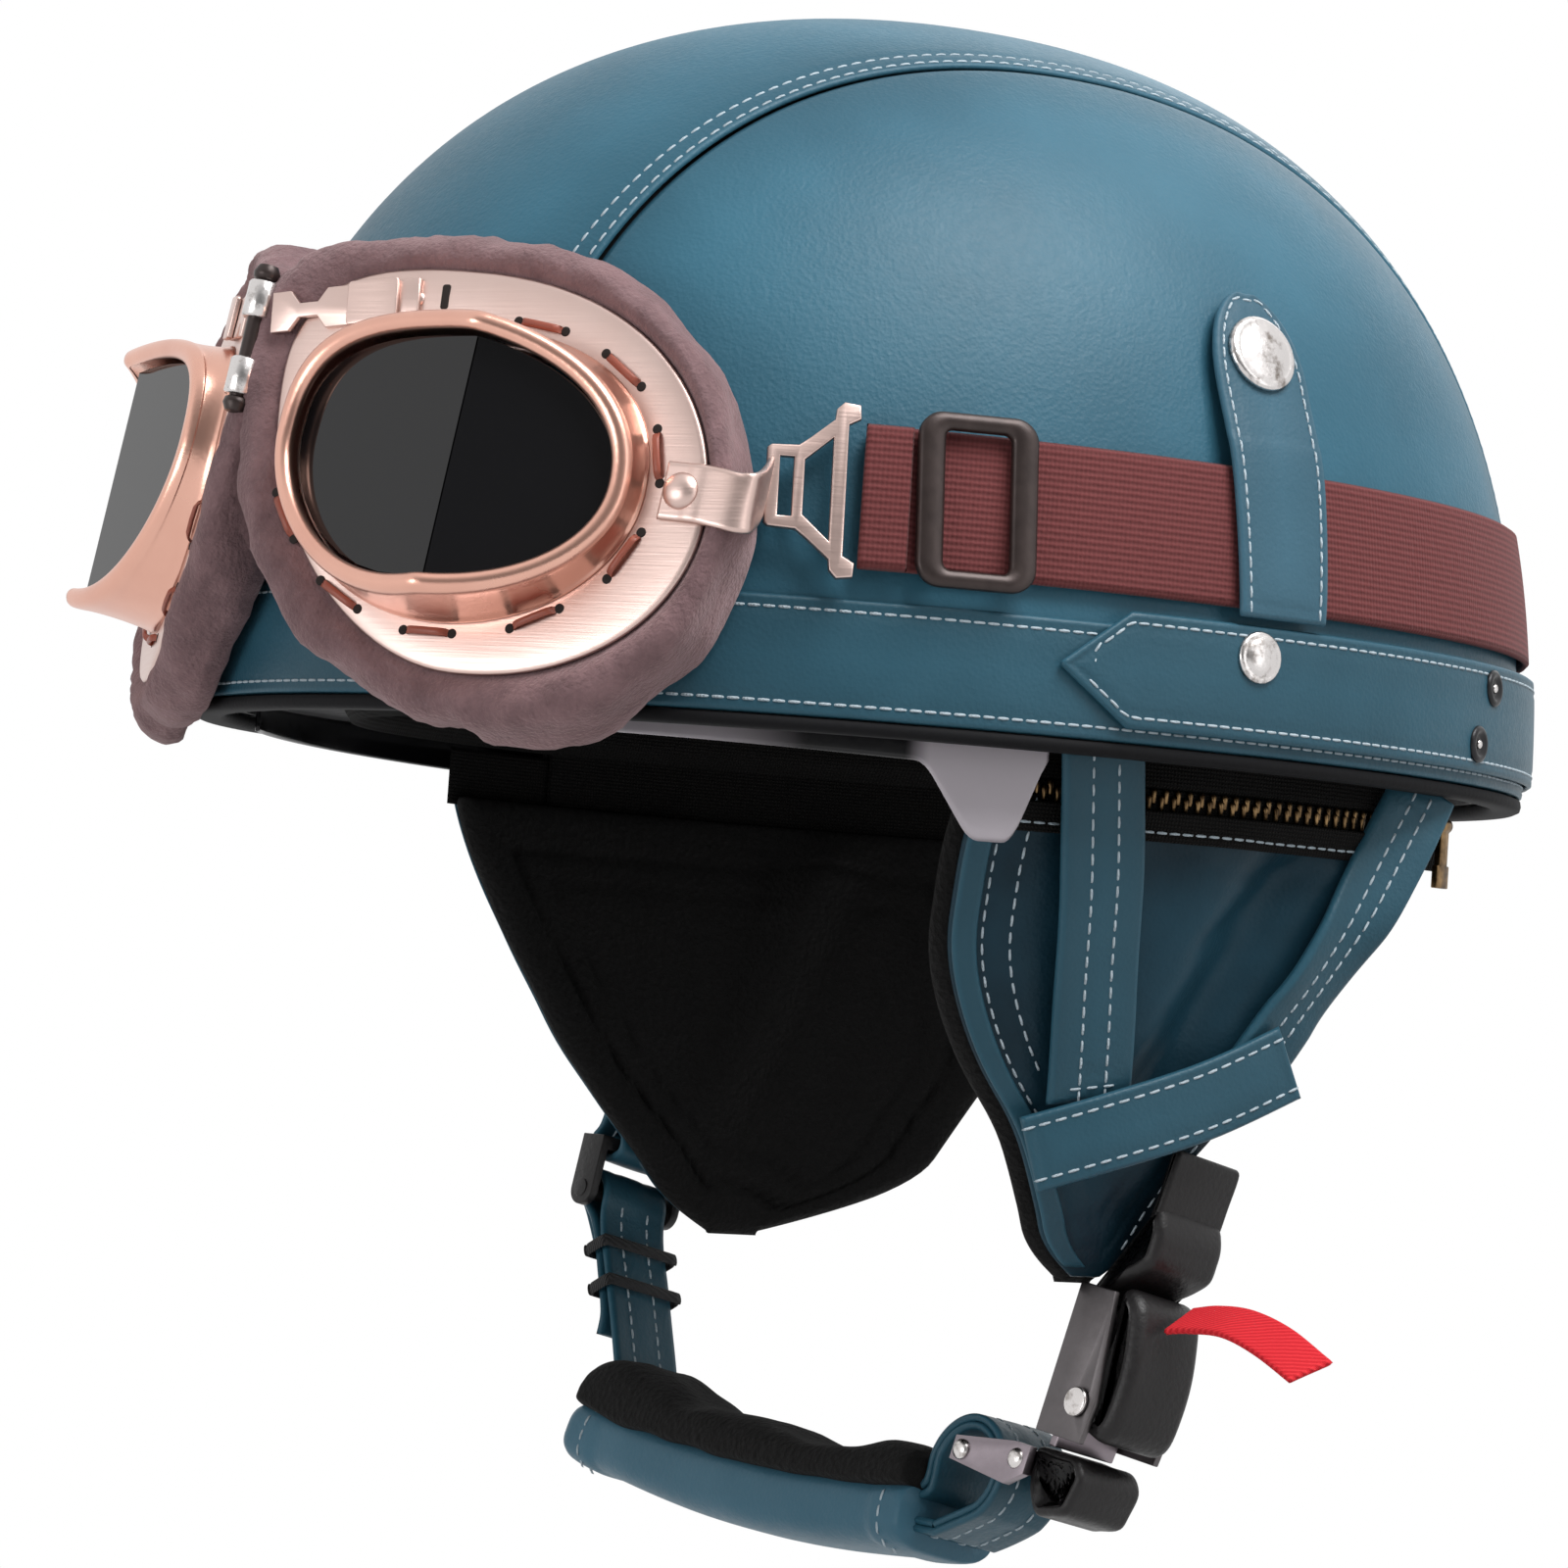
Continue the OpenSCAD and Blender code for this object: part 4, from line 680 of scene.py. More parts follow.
# Goggle strap
# Ribbed brown elastic. It runs round the back under the keepers, forward through a bronze slider
# to the hook's bar, and round the bar back to the slider.
elastic = Finish("brown_elastic", (0.12, 0.036, 0.033), 0.82, Sheen_Weight=0.08, Specular_IOR_Level=0.2)
lay = put(elastic.tree, "SeparateXYZ", Vector=elastic.put("UVMap", uv_map="cut")).outputs
rib_gap, pick_gap = 1.25 * MM, 0.9 * MM
rib, pick = (maths(elastic.tree, "SINE", maths(elastic.tree, "MULTIPLY", way, 2 * math.pi / gap))
             for way, gap in ((lay[1], rib_gap), (lay[0], pick_gap)))
fuzz = elastic.noise(900.0, Detail=5.0)
weave = maths(elastic.tree, "MULTIPLY_ADD", pick, 0.35, rib)
worn = ranged(elastic.tree, maths(elastic.tree, "ADD", fuzz, weave), (-1.6, 2.8))
elastic.tone(worn, (0.079, 0.0185, 0.0185), (0.214, 0.056, 0.057))
elastic.bump(weave, 0.06)
elastic.bump(fuzz, 0.2)
strap_z, strap_w, strap_t = 41.0, 27.0, 1.6


def strap_on_dome(off, th):
    return dome(off, th[None], strap_z + strap_w / 2 * graded(-1, 1, 15)[:, None])


th = np.linspace(plan_angle(21.4), np.pi - plan_angle(21.4), 220)
P = strap_on_dome(1.2, th)
P = P + dome_normal(P) * (0.15 * ripple(P, 40, 8))[..., None]
rear_run = Sheet(P, dome_normal(P), strap_t, 0.7)
sheet_piece("elastic_rear", [rear_run], elastic, "helmet", ["strap_rear"], "elastic", keep="cut")


def front_run(off, ys, s, seed):
    P = strap_on_dome(off, plan_angle(ys))
    N = dome_normal(P)
    P = P + N * (0.12 * ripple(P, 34, seed))[..., None]
    return Sheet(P * (s, 1, 1), N * (s, 1, 1), strap_t, 0.7)


def y_turn(a):
    """The rim's fore-and-aft place at a degrees from straight left."""
    a = math.radians(a)
    return math.sin(a) / ((math.cos(a) / dome_w) ** plan_e + (abs(math.sin(a)) / dome_l) ** plan_e) ** (1 / plan_e)


bronze = Finish("bronze_enamel", (0.035, 0.024, 0.022), 0.38, 0.55)
worn = bronze.noise(300.0, Detail=5.0)
bronze.tone(worn, (0.022, 0.015, 0.014), (0.06, 0.043, 0.04))
bronze.bump(worn, 0.08)
rose = Finish("rose_gold", (0.86, 0.6, 0.52), 0.34, 1.0)
grime = rose.noise(60.0, Detail=6.0)
brush = rose.noise(1.0, Detail=4.0, Vector=rose.put("Mapping", Vector=rose.spot, Scale=(60, 60, 2400)))
rose.tone(grime, (0.7, 0.545, 0.5), (0.58, 0.42, 0.375))
rose.gloss(brush, (0.3, 0.48))
rose.bump(brush, 0.03)


def rounded(w, h, r, n=10):
    """A rectangle with rounded corners, as points anticlockwise."""
    pts = []
    for k, (sx, sy) in enumerate(((1, 1), (-1, 1), (-1, -1), (1, -1))):
        for a in np.linspace(0, np.pi / 2, n) + k * np.pi / 2:
            pts.append((sx * (w / 2 - r) + r * math.cos(a), sy * (h / 2 - r) + r * math.sin(a)))
    return np.array(pts)


def plate(outlines, thick, soft):
    """A flat plate cut to outlines, the later ones holes, with softened edges; its back lies on Z = 0."""
    curve = bpy.data.curves.new("plate", "CURVE")
    curve.dimensions = "2D"
    curve.fill_mode = "BOTH"
    curve.extrude = (thick / 2 - soft) * MM
    curve.bevel_depth = soft * MM
    curve.bevel_resolution = 2
    curve.offset = -soft * MM
    for pts in outlines:
        line = curve.splines.new("POLY")
        line.points.add(len(pts) - 1)
        line.use_cyclic_u = True
        for p, (x, y) in zip(line.points, pts):
            p.co = (x * MM, y * MM, 0, 1)
    flat = bpy.data.objects.new("plate", curve)
    scene.collection.objects.link(flat)
    mesh = bpy.data.meshes.new_from_object(flat.evaluated_get(bpy.context.evaluated_depsgraph_get()))
    bpy.data.objects.remove(flat)
    verts = np.array([v.co for v in mesh.vertices]) * 1000 + (0, 0, thick / 2)
    return verts, [list(p.vertices) for p in mesh.polygons]


def dome_frame(y, z, off):
    """Turn and place on the dome: Z outward, Y rearward along the rim, X down."""
    at, n = seat(y, z, off)
    along = np.cross((0, 0, 1.0), n)
    along /= np.linalg.norm(along)
    return np.stack([np.cross(along, n), along, n]), at


def rest_on(verts, turn_and_place, s):
    """Carries points from a frame on the dome to their place, on the left or mirrored."""
    turn, at = turn_and_place
    return (np.asarray(verts) @ turn + at) * (s, 1, 1)


set_yaw = 8.5  # the goggles sit turned a little to the left
loops = []
for s, side in both_sides:
    hook_a, slider_a = -41.5 + s * set_yaw, -30.1 + s * set_yaw
    hook_y, slider_y = y_turn(hook_a), y_turn(slider_a)
    start = hook_y + 3.7 * math.cos(math.radians(hook_a))
    run = front_run(1.2, np.linspace(start, 20.6, 90), s, 5)
    obj = sheet_piece("elastic_front_" + side, [run], elastic, None, ["strap_front_" + side], "elastic", keep="cut")
    near, far = (dome(2, plan_angle(y), strap_z) * (s, 1, 1) * MM for y in (19.0, slider_y + 13))
    tuple(near)
    tuple(far)
    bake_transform(obj)
    loops.append(front_run(3.2, np.linspace(start - 0.2, slider_y - 11.7, 26), s, 12))

    frame_rows = []
    outer, inner = rounded(33, 23, 4.6), rounded(26.6, 13, 1.6)
    for f, h in ((0, 0.5), (0, 1.7), (0.14, 2.25), (0.5, 2.5), (0.86, 2.25), (1, 1.7), (1, 0.5), (0.86, 0.05),
                 (0.5, 0), (0.14, 0.05)):
        frame_rows.append(np.column_stack([inner + (outer - inner) * f, np.full(len(outer), h)]))
    verts, faces = loft(np.array(frame_rows).swapaxes(0, 1), closed=True)
    verts = rest_on(verts, dome_frame(slider_y, strap_z, 3.3), s)
    piece("slider_frame_" + side, verts, faces, bronze, "slider_" + side, ["strap_slider_" + side], "dark_bronze")

    outline = [(-16.2, -1.8), (-13.6, -2.0), (-12.4, 0.2), (12.4, 0.2), (13.6, -2.0), (16.2, -1.8), (16.6, 1.2),
               (15.2, 2.6), (13.2, 2.8), (9.6, 7.0), (7.9, 9.2), (7.7, 14.2), (7.1, 15), (-7.1, 15), (-7.7, 14.2),
               (-7.9, 9.2), (-9.6, 7.0), (-13.2, 2.8), (-15.2, 2.6), (-16.6, 1.2)]
    window = [(-9.8, 2.9), (9.8, 2.9), (5.2, 8.0), (-5.2, 8.0)]
    slot_hole = [(-5.6, 10.0), (5.6, 10.0), (5.6, 12.6), (-5.6, 12.6)]
    verts, faces = plate([outline, window, slot_hole], 2.0, 0.35)
    verts = rest_on(verts * (1, -1, 1), dome_frame(hook_y, strap_z, 3.3), s)
    piece("hook_plate_" + side, verts, faces, rose, "goggles", ["hook_" + side], "rose_gold", flat=40)
sheet_piece("elastic_loops", loops, elastic, "goggles", ["strap_loops"], "elastic", keep="cut")

# Goggles
# Two stamped cups, each with a flat laced flange, a rolled bezel that rises to a crease, and two
# flat smoked panes. Suede rolls lie between them and the helmet.
cup_x, cup_z = 51.8, 40.5  # where a cup's middle stands in front of the dome
squeeze = (1 - (cup_z / dome_h) ** rise_e) ** (1 / rise_e)
cup_y = -dome_l * squeeze * (1 - (cup_x / dome_w / squeeze) ** plan_e) ** (1 / plan_e) - 10.5
cup_lean = math.radians(10.5)
cup_yaw = 25.5


def about_z(p, a):
    c, s = math.cos(math.radians(a)), math.sin(math.radians(a))
    return np.stack([p[..., 0] * c - p[..., 1] * s, p[..., 0] * s + p[..., 1] * c, p[..., 2]], -1)


def cup(p, s):
    """From a cup's own frame, X outward along the flange and -Y out through the lens."""
    x, y, z = np.moveaxis(about_z(np.asarray(p, float), cup_yaw), -1, 0)
    c, sn = math.cos(cup_lean), math.sin(cup_lean)
    g = np.stack([x + cup_x, y * c + z * sn + cup_y, z * c - y * sn + cup_z], -1)
    return about_z(g * (s, 1, 1), set_yaw)


def oval(a, w, h):
    """The lens outline: squarer over the nose, with its nose corner raised."""
    c, sn = np.cos(a), np.sin(a)
    e = np.where(sn < 0, 1, np.where(c < 0, 0.8, 0.9))
    return np.stack([w / 2 * power(c, e), h / 2 * (power(sn, e) + 0.16 * np.minimum(c, 0) ** 2)], -1)


def flange_at(a, grow):
    """The flange outline round it, longer outward and raked."""
    o = oval(a, 2, 76 + grow)
    x, z = o[..., 0], o[..., 1]
    return np.stack([x * ((93 + grow) / 2 + np.where(x > 0, 5, -5)) - 5 - 0.18 * z, z], -1)


def rise(x):
    """Height of the bezel: low at both ends, highest at the crease."""
    return np.where(x < 6.5, 6.5 + 12 * (x + 34) / 40.5, 18.5 - 12.5 * (x - 6.5) / 27.5)


def round_off(points, n, closed=True):
    """A smooth line through points, with n places between each pair."""
    p = np.asarray(points, float)
    k = len(p)
    out = []
    for i in range(k if closed else k - 1):
        a, b, c, d = (p[j % k] if closed else p[min(max(j, 0), k - 1)] for j in (i - 1, i, i + 1, i + 2))
        for t in np.arange(n) / n:
            out.append(0.5 * (2 * b + (c - a) * t + (2 * a - 5 * b + 4 * c - d) * t ** 2
                              + (3 * b - a - 3 * c + d) * t ** 3))
    return np.array(out if closed else out + [p[-1]])


copper = Finish("copper_plate", (0.55, 0.235, 0.17), 0.27, 1.0)
tone = copper.noise(45.0, Detail=5.0)
copper.tone(tone, (0.84, 0.5, 0.395), (0.64, 0.33, 0.255))
copper.gloss(tone, (0.2, 0.38))
copper.bump(copper.noise(900.0), 0.03)
smoked = Finish("smoked_lens", (0.005, 0.005, 0.006), 0.05, Specular_IOR_Level=0.36)
wiped = smoked.put("Mapping", Vector=smoked.spot, Rotation=(0.5, 0.2, 0.9), Scale=(9, 260, 30))
smoked.gloss(smoked.noise(1.0, Detail=3.0, Vector=wiped), (0.04, 0.13), (0.62, 0.75))
suede = Finish("brown_suede", (0.17, 0.09, 0.088), 0.92,
               Sheen_Weight=0.4, Sheen_Roughness=0.5, Sheen_Tint=(0.9, 0.68, 0.68, 1))
nap = suede.noise(120.0, Detail=7.0, Roughness=0.7)
suede.tone(ranged(suede.tree, nap, (0.32, 0.7)), (0.142, 0.08, 0.086), (0.27, 0.16, 0.168))
suede.bump(suede.noise(1100.0, Detail=4.0), 0.5)
suede.bump(nap, 0.6)
lace_red = Finish("red_lace", (0.3, 0.075, 0.045), 0.45)
lace_red.bump(lace_red.noise(900.0), 0.1)
# painted shadow: a near-black finish for the plate and disks that stand for the shade inside the flange's slot and lace
# holes
hole_painted_shadow = Finish("hole_shadow", (0.012, 0.008, 0.007), 0.9)
hole_painted_shadow.bump(hole_painted_shadow.noise(900.0), 0.05)

spin = full_turn(180)


def reach_dome(p, d, s):
    """How far each point goes along d before it meets the helmet."""
    clear = 3.0
    a, b = np.full(p.shape[:-1], 0.5), np.full(p.shape[:-1], 36.0)
    for _ in range(16):
        m = (a + b) / 2
        free = swell(cup(p + m[..., None] * d, s), clear) > 1
        a, b = np.where(free, m, a), np.where(free, b, m)
    return a


lace_bar = []
for x, z in ((-4.6, -0.7), (-4.1, 0.35), (-3.2, 0.75), (0, 0.85), (3.2, 0.75), (4.1, 0.35), (4.6, -0.7)):
    tuck = 0.5 if x < -3 else -0.5 if x > 3 else 0
    lace_bar.append([(x + tuck * math.sin(a) * 0.8, 0.75 * math.cos(a), z + 0.5 * math.sin(a)) for a in full_turn(8)])
lace_form = loose_form("lace_form", *loft(lace_bar))
hole_form = turned_form("lace_hole_form", [(0.1, -0.3), (0.95, -0.3), (0.95, 0.06), (0.75, 0.09), (0.1, 0.09)], 14)
eye_rivet = turned_form("plate_rivet_form", [(0.2, -0.2), (3.4, -0.2), (3.5, 0.1), (3.4, 0.5), (2.9, 1.1), (2.0, 1.6),
                                             (1.0, 1.85), (0.1, 1.9)])
pin_form = turned_form("flange_pin_form", [(0.1, -0.2), (1.5, -0.2), (1.5, 0.2), (1.1, 0.55), (0.5, 0.7),
                                           (0.1, 0.72)], 16)
laces, holes, rivets, pins = ([] for _ in range(4))
for s, side in both_sides:
    inner = oval(spin, 71, 49) - (5, 1)
    outer = flange_at(spin, 0)
    flange = []
    for f, y in ((0, -0.4), (0, -0.9), (0.03, -1.2), (0.2, -1.3), (0.4, -1.45), (0.6, -1.5), (0.78, -1.4),
                 (0.92, -1.2), (0.97, -1.05), (1, -0.6), (0.985, -0.15), (0.93, 0), (0.5, 0), (0.05, 0)):
        flat = inner + (outer - inner) * f
        flange.append(np.stack([flat[:, 0], np.full(len(spin), y), flat[:, 1]], -1))
    verts, faces = loft(cup(np.array(flange).swapaxes(0, 1), s), closed=True)
    piece("flange_" + side, verts, faces, rose, "goggles", ["eyecup_" + side], "rose_gold")

    rows = []
    for a in -spin:
        h = float(rise(oval(a, 68, 46)[0]))
        wall = round_off([(10.2, 0.2), (9.3, 0.16 * h), (8.3, 0.42 * h), (7.9, 0.68 * h), (8.1, h - 1.7),
                          (6.9, h - 0.1), (4.2, h + 0.55), (1.7, h + 0.2), (0.5, h - 0.9), (1.2, h - 2.6),
                          (4.4, 0.3)], 4)
        flat = np.array([oval(a, 68 + w, 46 + w) for w, _ in wall])
        rows.append(np.stack([flat[:, 0] - 5, -1.2 - wall[:, 1], flat[:, 1] - 1], -1))
    verts, faces = loft(cup(np.array(rows), s), closed=True)
    piece("bezel_rolled_" + side, verts, faces, copper, "goggles", ["bezel_" + side], "copper")
    smoked.coat(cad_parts["lens_" + side].data)

    c, sn = np.cos(spin), np.sin(spin)
    belly = np.where(sn > 0, 0.75, 1.0) * 10.5
    stand = np.where(c < 0, 8.4 + 3.6 * c * c + 5 * np.maximum(c * sn, 0), belly + (4.7 - belly) * c * c)
    stand = stand * (1 + 0.07 * np.sin(5 * spin + s) + 0.05 * np.sin(11 * spin + 2 * s))

    def inward(x):
        a = np.radians(cup_yaw + (-14 - cup_yaw) * np.clip((x + 46.5) / 93, 0, 1))
        return np.stack([np.sin(a), np.cos(a), np.zeros_like(a)], -1)

    def lay(grow, y=0.35):
        o = flange_at(spin, grow)
        return np.stack([o[:, 0], np.full(len(spin), y), o[:, 1]], -1)

    def behind(p):
        return p + inward(p[:, 0]) * reach_dome(p, inward(p[:, 0]), s)[:, None]

    rim_line = lay(2 * stand)
    to_back = behind(rim_line) - rim_line
    roll_rows = np.stack([lay(-24), lay(-6), lay(-0.8), lay(0.5 * stand, -1.3), lay(1.2 * stand, -1.4),
                          lay(1.75 * stand, 1.2), rim_line + to_back * 0.4, rim_line + to_back * 0.7,
                          behind(lay(1.3 * stand)), behind(lay(-24))], 1)
    roll_rows = np.stack([round_off(r, 4) for r in roll_rows])
    lumps = 0.8 * ripple(roll_rows, 19, 20 + s) + 0.3 * ripple(roll_rows, 6, 30 + s)
    away = roll_rows - roll_rows.mean(1, keepdims=True)
    away /= np.linalg.norm(away, axis=-1, keepdims=True)
    brim = lay(0)[:, None, [0, 2]]
    past = roll_rows[..., [0, 2]] - brim
    loose = np.clip((past * brim).sum(-1) / np.linalg.norm(brim, axis=-1) / 3, 0, 1)
    roll_rows = roll_rows + away * (lumps * loose)[..., None]
    verts, faces = loft(cup(roll_rows, s), closed=True)
    piece("suede_roll_" + side, verts, faces, suede, "goggles", ["pad_" + side], "suede")

    front = cup(np.array([[0, -1, 0], [0, 0, 0]]), s)
    out = front[0] - front[1]
    for a in (78, 47, 12, -23, -57, -89, -119, -150):
        p, q = (oval(np.radians(a + d), 82, 60) for d in (0, 4))
        r = (q - p) / np.linalg.norm(q - p)
        at = np.array([p[0] - 5, -1.5, p[1] - 1])
        for box, shift, deep in ((laces, 0, 0.15), (holes, 5.2, 0), (holes, -5.2, 0)):
            run = np.array([r[0], 0, r[1]])
            box.append((cup(at + run * shift - (0, deep, 0), s), out, cup(run, s) - cup(np.zeros(3), s)))
    rivets.append((cup(np.array([42.0, -2.75, 0]), s), out, (0, 0, 1)))
    pins.append((cup(np.array([-22.8, -1.4, 31.5]), s), out, (0, 0, 1)))
    # the slot is a thin dark plate of painted shadow standing for the opening
    for kind, look, slot, (w, h, r), (thick, soft), (at_x, deep, at_z), turn in (
            ("clip", rose, "rose_gold", (10.8, 8.6, 0.8), (1.1, 0.3), (-31.2, 2.75, 29.8), 10),
            ("slot", hole_painted_shadow, "dark_bronze", (1.7, 4.8, 0.5), (0.3, 0.12), (-17, 1.3, 32.4), 6)):
        verts, faces = plate([rounded(w, h, r, 5)], thick, soft)
        a = math.radians(turn)
        verts = np.stack([at_x + verts[:, 0] * math.cos(a) - verts[:, 1] * math.sin(a), -deep - verts[:, 2],
                          at_z + verts[:, 0] * math.sin(a) + verts[:, 1] * math.cos(a)], -1)
        piece(f"flange_{kind}_{side}", cup(verts, s), faces, look, "goggles", slot=slot, flat=40)
fix("flange_pins", pin_form, rose, *zip(*pins), "goggles", "rose_gold")
fix("flange_lacing", lace_form, lace_red, *zip(*laces), "goggles", "lace", ["lacing"])
# the lace holes are dark disks of painted shadow
fix("flange_lace_holes", hole_form, hole_painted_shadow, *zip(*holes), "goggles", "dark_bronze")
fix("plate_rivets", eye_rivet, rose, *zip(*rivets), "goggles", "rose_gold")


def ribbon(points, wide_way, w, t, n=12, across=13, edge=0.6, grooves=(), seed=None):
    """A flat strap through points, smooth along its length, w wide along wide_way."""
    line = round_off(points, n, closed=False)
    way = np.gradient(line, axis=0)
    way /= np.linalg.norm(way, axis=1, keepdims=True)
    wide = np.asarray(wide_way, float) - (way @ np.asarray(wide_way, float))[:, None] * way
    wide /= np.linalg.norm(wide, axis=1, keepdims=True)
    out = np.cross(way, wide)
    f = graded(-0.5, 0.5, across)
    P = line[None] + f[:, None, None] * w * wide[None] - out[None] * t / 2
    N = np.broadcast_to(out[None], P.shape).copy()
    if seed is not None:
        P = P + N * (0.25 * ripple(P, 22, seed))[..., None]
    return Sheet(P, N, t, edge, grooves=grooves)


strips = []
for s, side in both_sides:
    hook_y = y_turn(-41.5 + s * set_yaw)
    foot = dome(0, plan_angle(hook_y), strap_z)
    n = dome_normal(foot)
    end = (foot + 4.2 * n + 14.6 * np.array([n[1], -n[0], 0]) / np.hypot(n[0], n[1])) * (s, 1, 1)
    pts = [cup(np.array(p), s) for p in ((38.0, -2.1, 0), (42.0, -2.1, 0), (46.0, -2.1, 0), (54.4, 1.0, 0))] + [end]
    way_up = cup(np.array([0, 0, 1.0]), s) - cup(np.zeros(3), s)
    strips.append(ribbon(pts[::s], way_up, 11, 1.2, edge=0.5))
sheet_piece("bracket_plates", strips, rose, "goggles", ["brackets"], "rose_gold", keep=None)


def softened(name, solid, look, body, slot, width):
    """A metal or moulded piece: the solid's own shape with its sharp edges broken."""
    work = bmesh.new()
    work.from_mesh(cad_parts[solid].data)
    bmesh.ops.remove_doubles(work, verts=work.verts, dist=2e-6)
    bmesh.ops.dissolve_limit(work, angle_limit=math.radians(0.6), verts=work.verts, edges=work.edges)
    mesh = bpy.data.meshes.new(name)
    work.to_mesh(mesh)
    work.free()
    raw = bpy.data.objects.new(name + "_raw", mesh)
    scene.collection.objects.link(raw)
    bevel = raw.modifiers.new("edges", "BEVEL")
    bevel.width = width * MM
    bevel.segments = 2
    bevel.limit_method = "ANGLE"
    bevel.angle_limit = math.radians(40)
    made = bpy.data.meshes.new_from_object(raw.evaluated_get(bpy.context.evaluated_depsgraph_get()))
    bpy.data.objects.remove(raw)
    bpy.data.meshes.remove(mesh)
    made.name = name
    look.coat(made)
    made.polygons.foreach_set("use_smooth", [True] * len(made.polygons))
    made.set_sharp_from_angle(angle=math.radians(35))
    return assemble(name, made, body, [solid], slot)


softened("bridge_strips", "bridge_arms", rose, "goggles", "rose_gold", 0.25)


def bridge(p):
    """From the middle of the goggles, X across, -Y forward and Z up the hinge rod."""
    x, y, z = np.moveaxis(np.asarray(p, float) + (0, -25.4, 21.0), -1, 0)
    c, sn = math.cos(cup_lean), math.sin(cup_lean)
    return about_z(np.stack([x, y * c + z * sn + cup_y, z * c - y * sn + cup_z], -1), set_yaw)


def turned(profile, low_end=0):
    return loft([[(r * math.cos(a), r * math.sin(a), low_end + z) for a in full_turn(24)] for r, z in profile])


rod = [(0.2, -14.6), (1.9, -14.4), (2.6, -13), (2.4, -11.9), (1.7, -11.5), (1.7, 11.5), (2.4, 11.9), (2.6, 13),
       (1.9, 14.4), (0.2, 14.6)]
verts, faces = turned(rod)
piece("hinge_rod", bridge(verts), faces, bronze, "goggles", ["bridge_pin"], "dark_bronze", flat=50)
for part, low_end in (("upper", 4.0), ("lower", -11.2)):
    sleeve = [(1.75, 0), (2.6, 0), (2.95, 0.4), (2.95, 6.8), (2.6, 7.2), (1.75, 7.2)]
    verts, faces = turned(sleeve, low_end)
    piece("hinge_sleeve_" + part, bridge(verts), faces, nickel, "goggles", slot="nickel", flat=50)

# Ear flaps
# Soft leather flaps lined with black fleece, zipped on under the rim. A reinforcing strip is sewn
# along each front edge, and the leather billows a little between the straps.
# the flaps wear the cover leather in a darker copy: partly a darker, glossier hide, partly painted shade for flaps
# hanging under the rim
flap_blue_painted_shade = leather("flap_leather", (0.003, 0.015, 0.025), (0.018, 0.066, 0.1), 0.38, 0.15)
fleece = Finish("black_fleece", (0.004, 0.004, 0.004), 0.95,
                Specular_IOR_Level=0.2, Sheen_Weight=0.03, Sheen_Roughness=0.6)
pile = fleece.noise(520.0, Detail=6.0, Roughness=0.7)
fleece.tone(pile, (0.0015, 0.0015, 0.0015), (0.009, 0.0085, 0.0085))
fleece.bump(pile, 1.0)
fleece.bump(fleece.put("TexVoronoi", Vector=fleece.spot, Scale=700.0), 0.4)
zip_x0, zip_y0, zip_r = -50.4, 14, 150  # each zip runs on an arc about this place
zip_z = -11.6  # its lower edge, where the flap begins


def zip_x(y):
    return zip_x0 + np.sqrt(np.maximum(0, zip_r ** 2 - (y - zip_y0) ** 2))


def flap_x(y, z, d):
    """How far out the flap lies, leaning in below the zip, with d added."""
    return zip_x(np.clip(y, -60, 90)) - 0.27 * (zip_z - z) + d


def outline(points, z):
    """A flap's edge by height, with its corners eased."""
    k, v = np.array(points, float).T
    fine = np.linspace(k[0], k[-1], 400)
    wide = np.interp(fine, k, v)
    eased = np.convolve(np.pad(wide, 22, mode="reflect", reflect_type="odd"), np.ones(45) / 45, "valid")
    return np.interp(z, fine, eased)


front_edge = {1: [(-101, 10), (-97, 3), (-85, -2), (-72, -9), (-62, -18), (-50, -25), (-39, -29), (-20, -30),
                  (0, -28)],
              -1: [(-101, 10), (-97, 2), (-85, -7), (-72, -18), (-62, -26), (-50, -33), (-39, -40), (-20, -50),
                   (0, -54)]}
rear_edge = {1: [(-101, 16), (-97, 22), (-78, 30), (-62, 43), (-43, 55), (-11.6, 72)],
             -1: [(-101, 20), (-97, 36), (-88, 58), (-62, 76), (-40, 77), (-11.6, 72)]}


def flap_grid(s, d, grow, n=61):
    """A flap's points, d further out than its back and wider by grow."""
    z = graded(-101 - grow, zip_z, n)[:, None]
    y0, y1 = outline(front_edge[s], z) - grow, outline(rear_edge[s], z) + grow
    y = y0 + (y1 - y0) * graded(0, 1, n)[None]
    return np.stack(np.broadcast_arrays(flap_x(y, z, d), y, z), -1)


def grid_normal(P):
    a, b = np.gradient(P, axis=0), np.gradient(P, axis=1)
    n = np.cross(b, a)
    n /= np.maximum(np.linalg.norm(n, axis=-1, keepdims=True), 1e-9)
    return n * np.where(n[..., :1] < 0, -1, 1)


def billow(P):
    """The flap's soft folds: a swell behind the front strap, a valley beside it and a swell at the rear."""
    y, z = P[..., 1], P[..., 2]
    low = z + 12
    valley = y - (46 + 0.55 * low)
    ends = np.clip(-low / 8, 0, 1) * np.clip((low + 76) / 14, 0, 1)
    front = np.exp(-((y - 24 - 0.2 * low) / 9) ** 2)
    crease = np.exp(-((z + 37 - 0.62 * (y - 20)) / 3.5) ** 2) * np.exp(-((y - 30) / 10) ** 2)
    folds = 2.7 * front - 4.6 * np.exp(-(valley / 8) ** 2) + 1.8 * np.exp(-((valley - 17) / 9) ** 2) - 1.3 * crease
    return ends * folds + 0.15 * ripple(P, 20, 40)


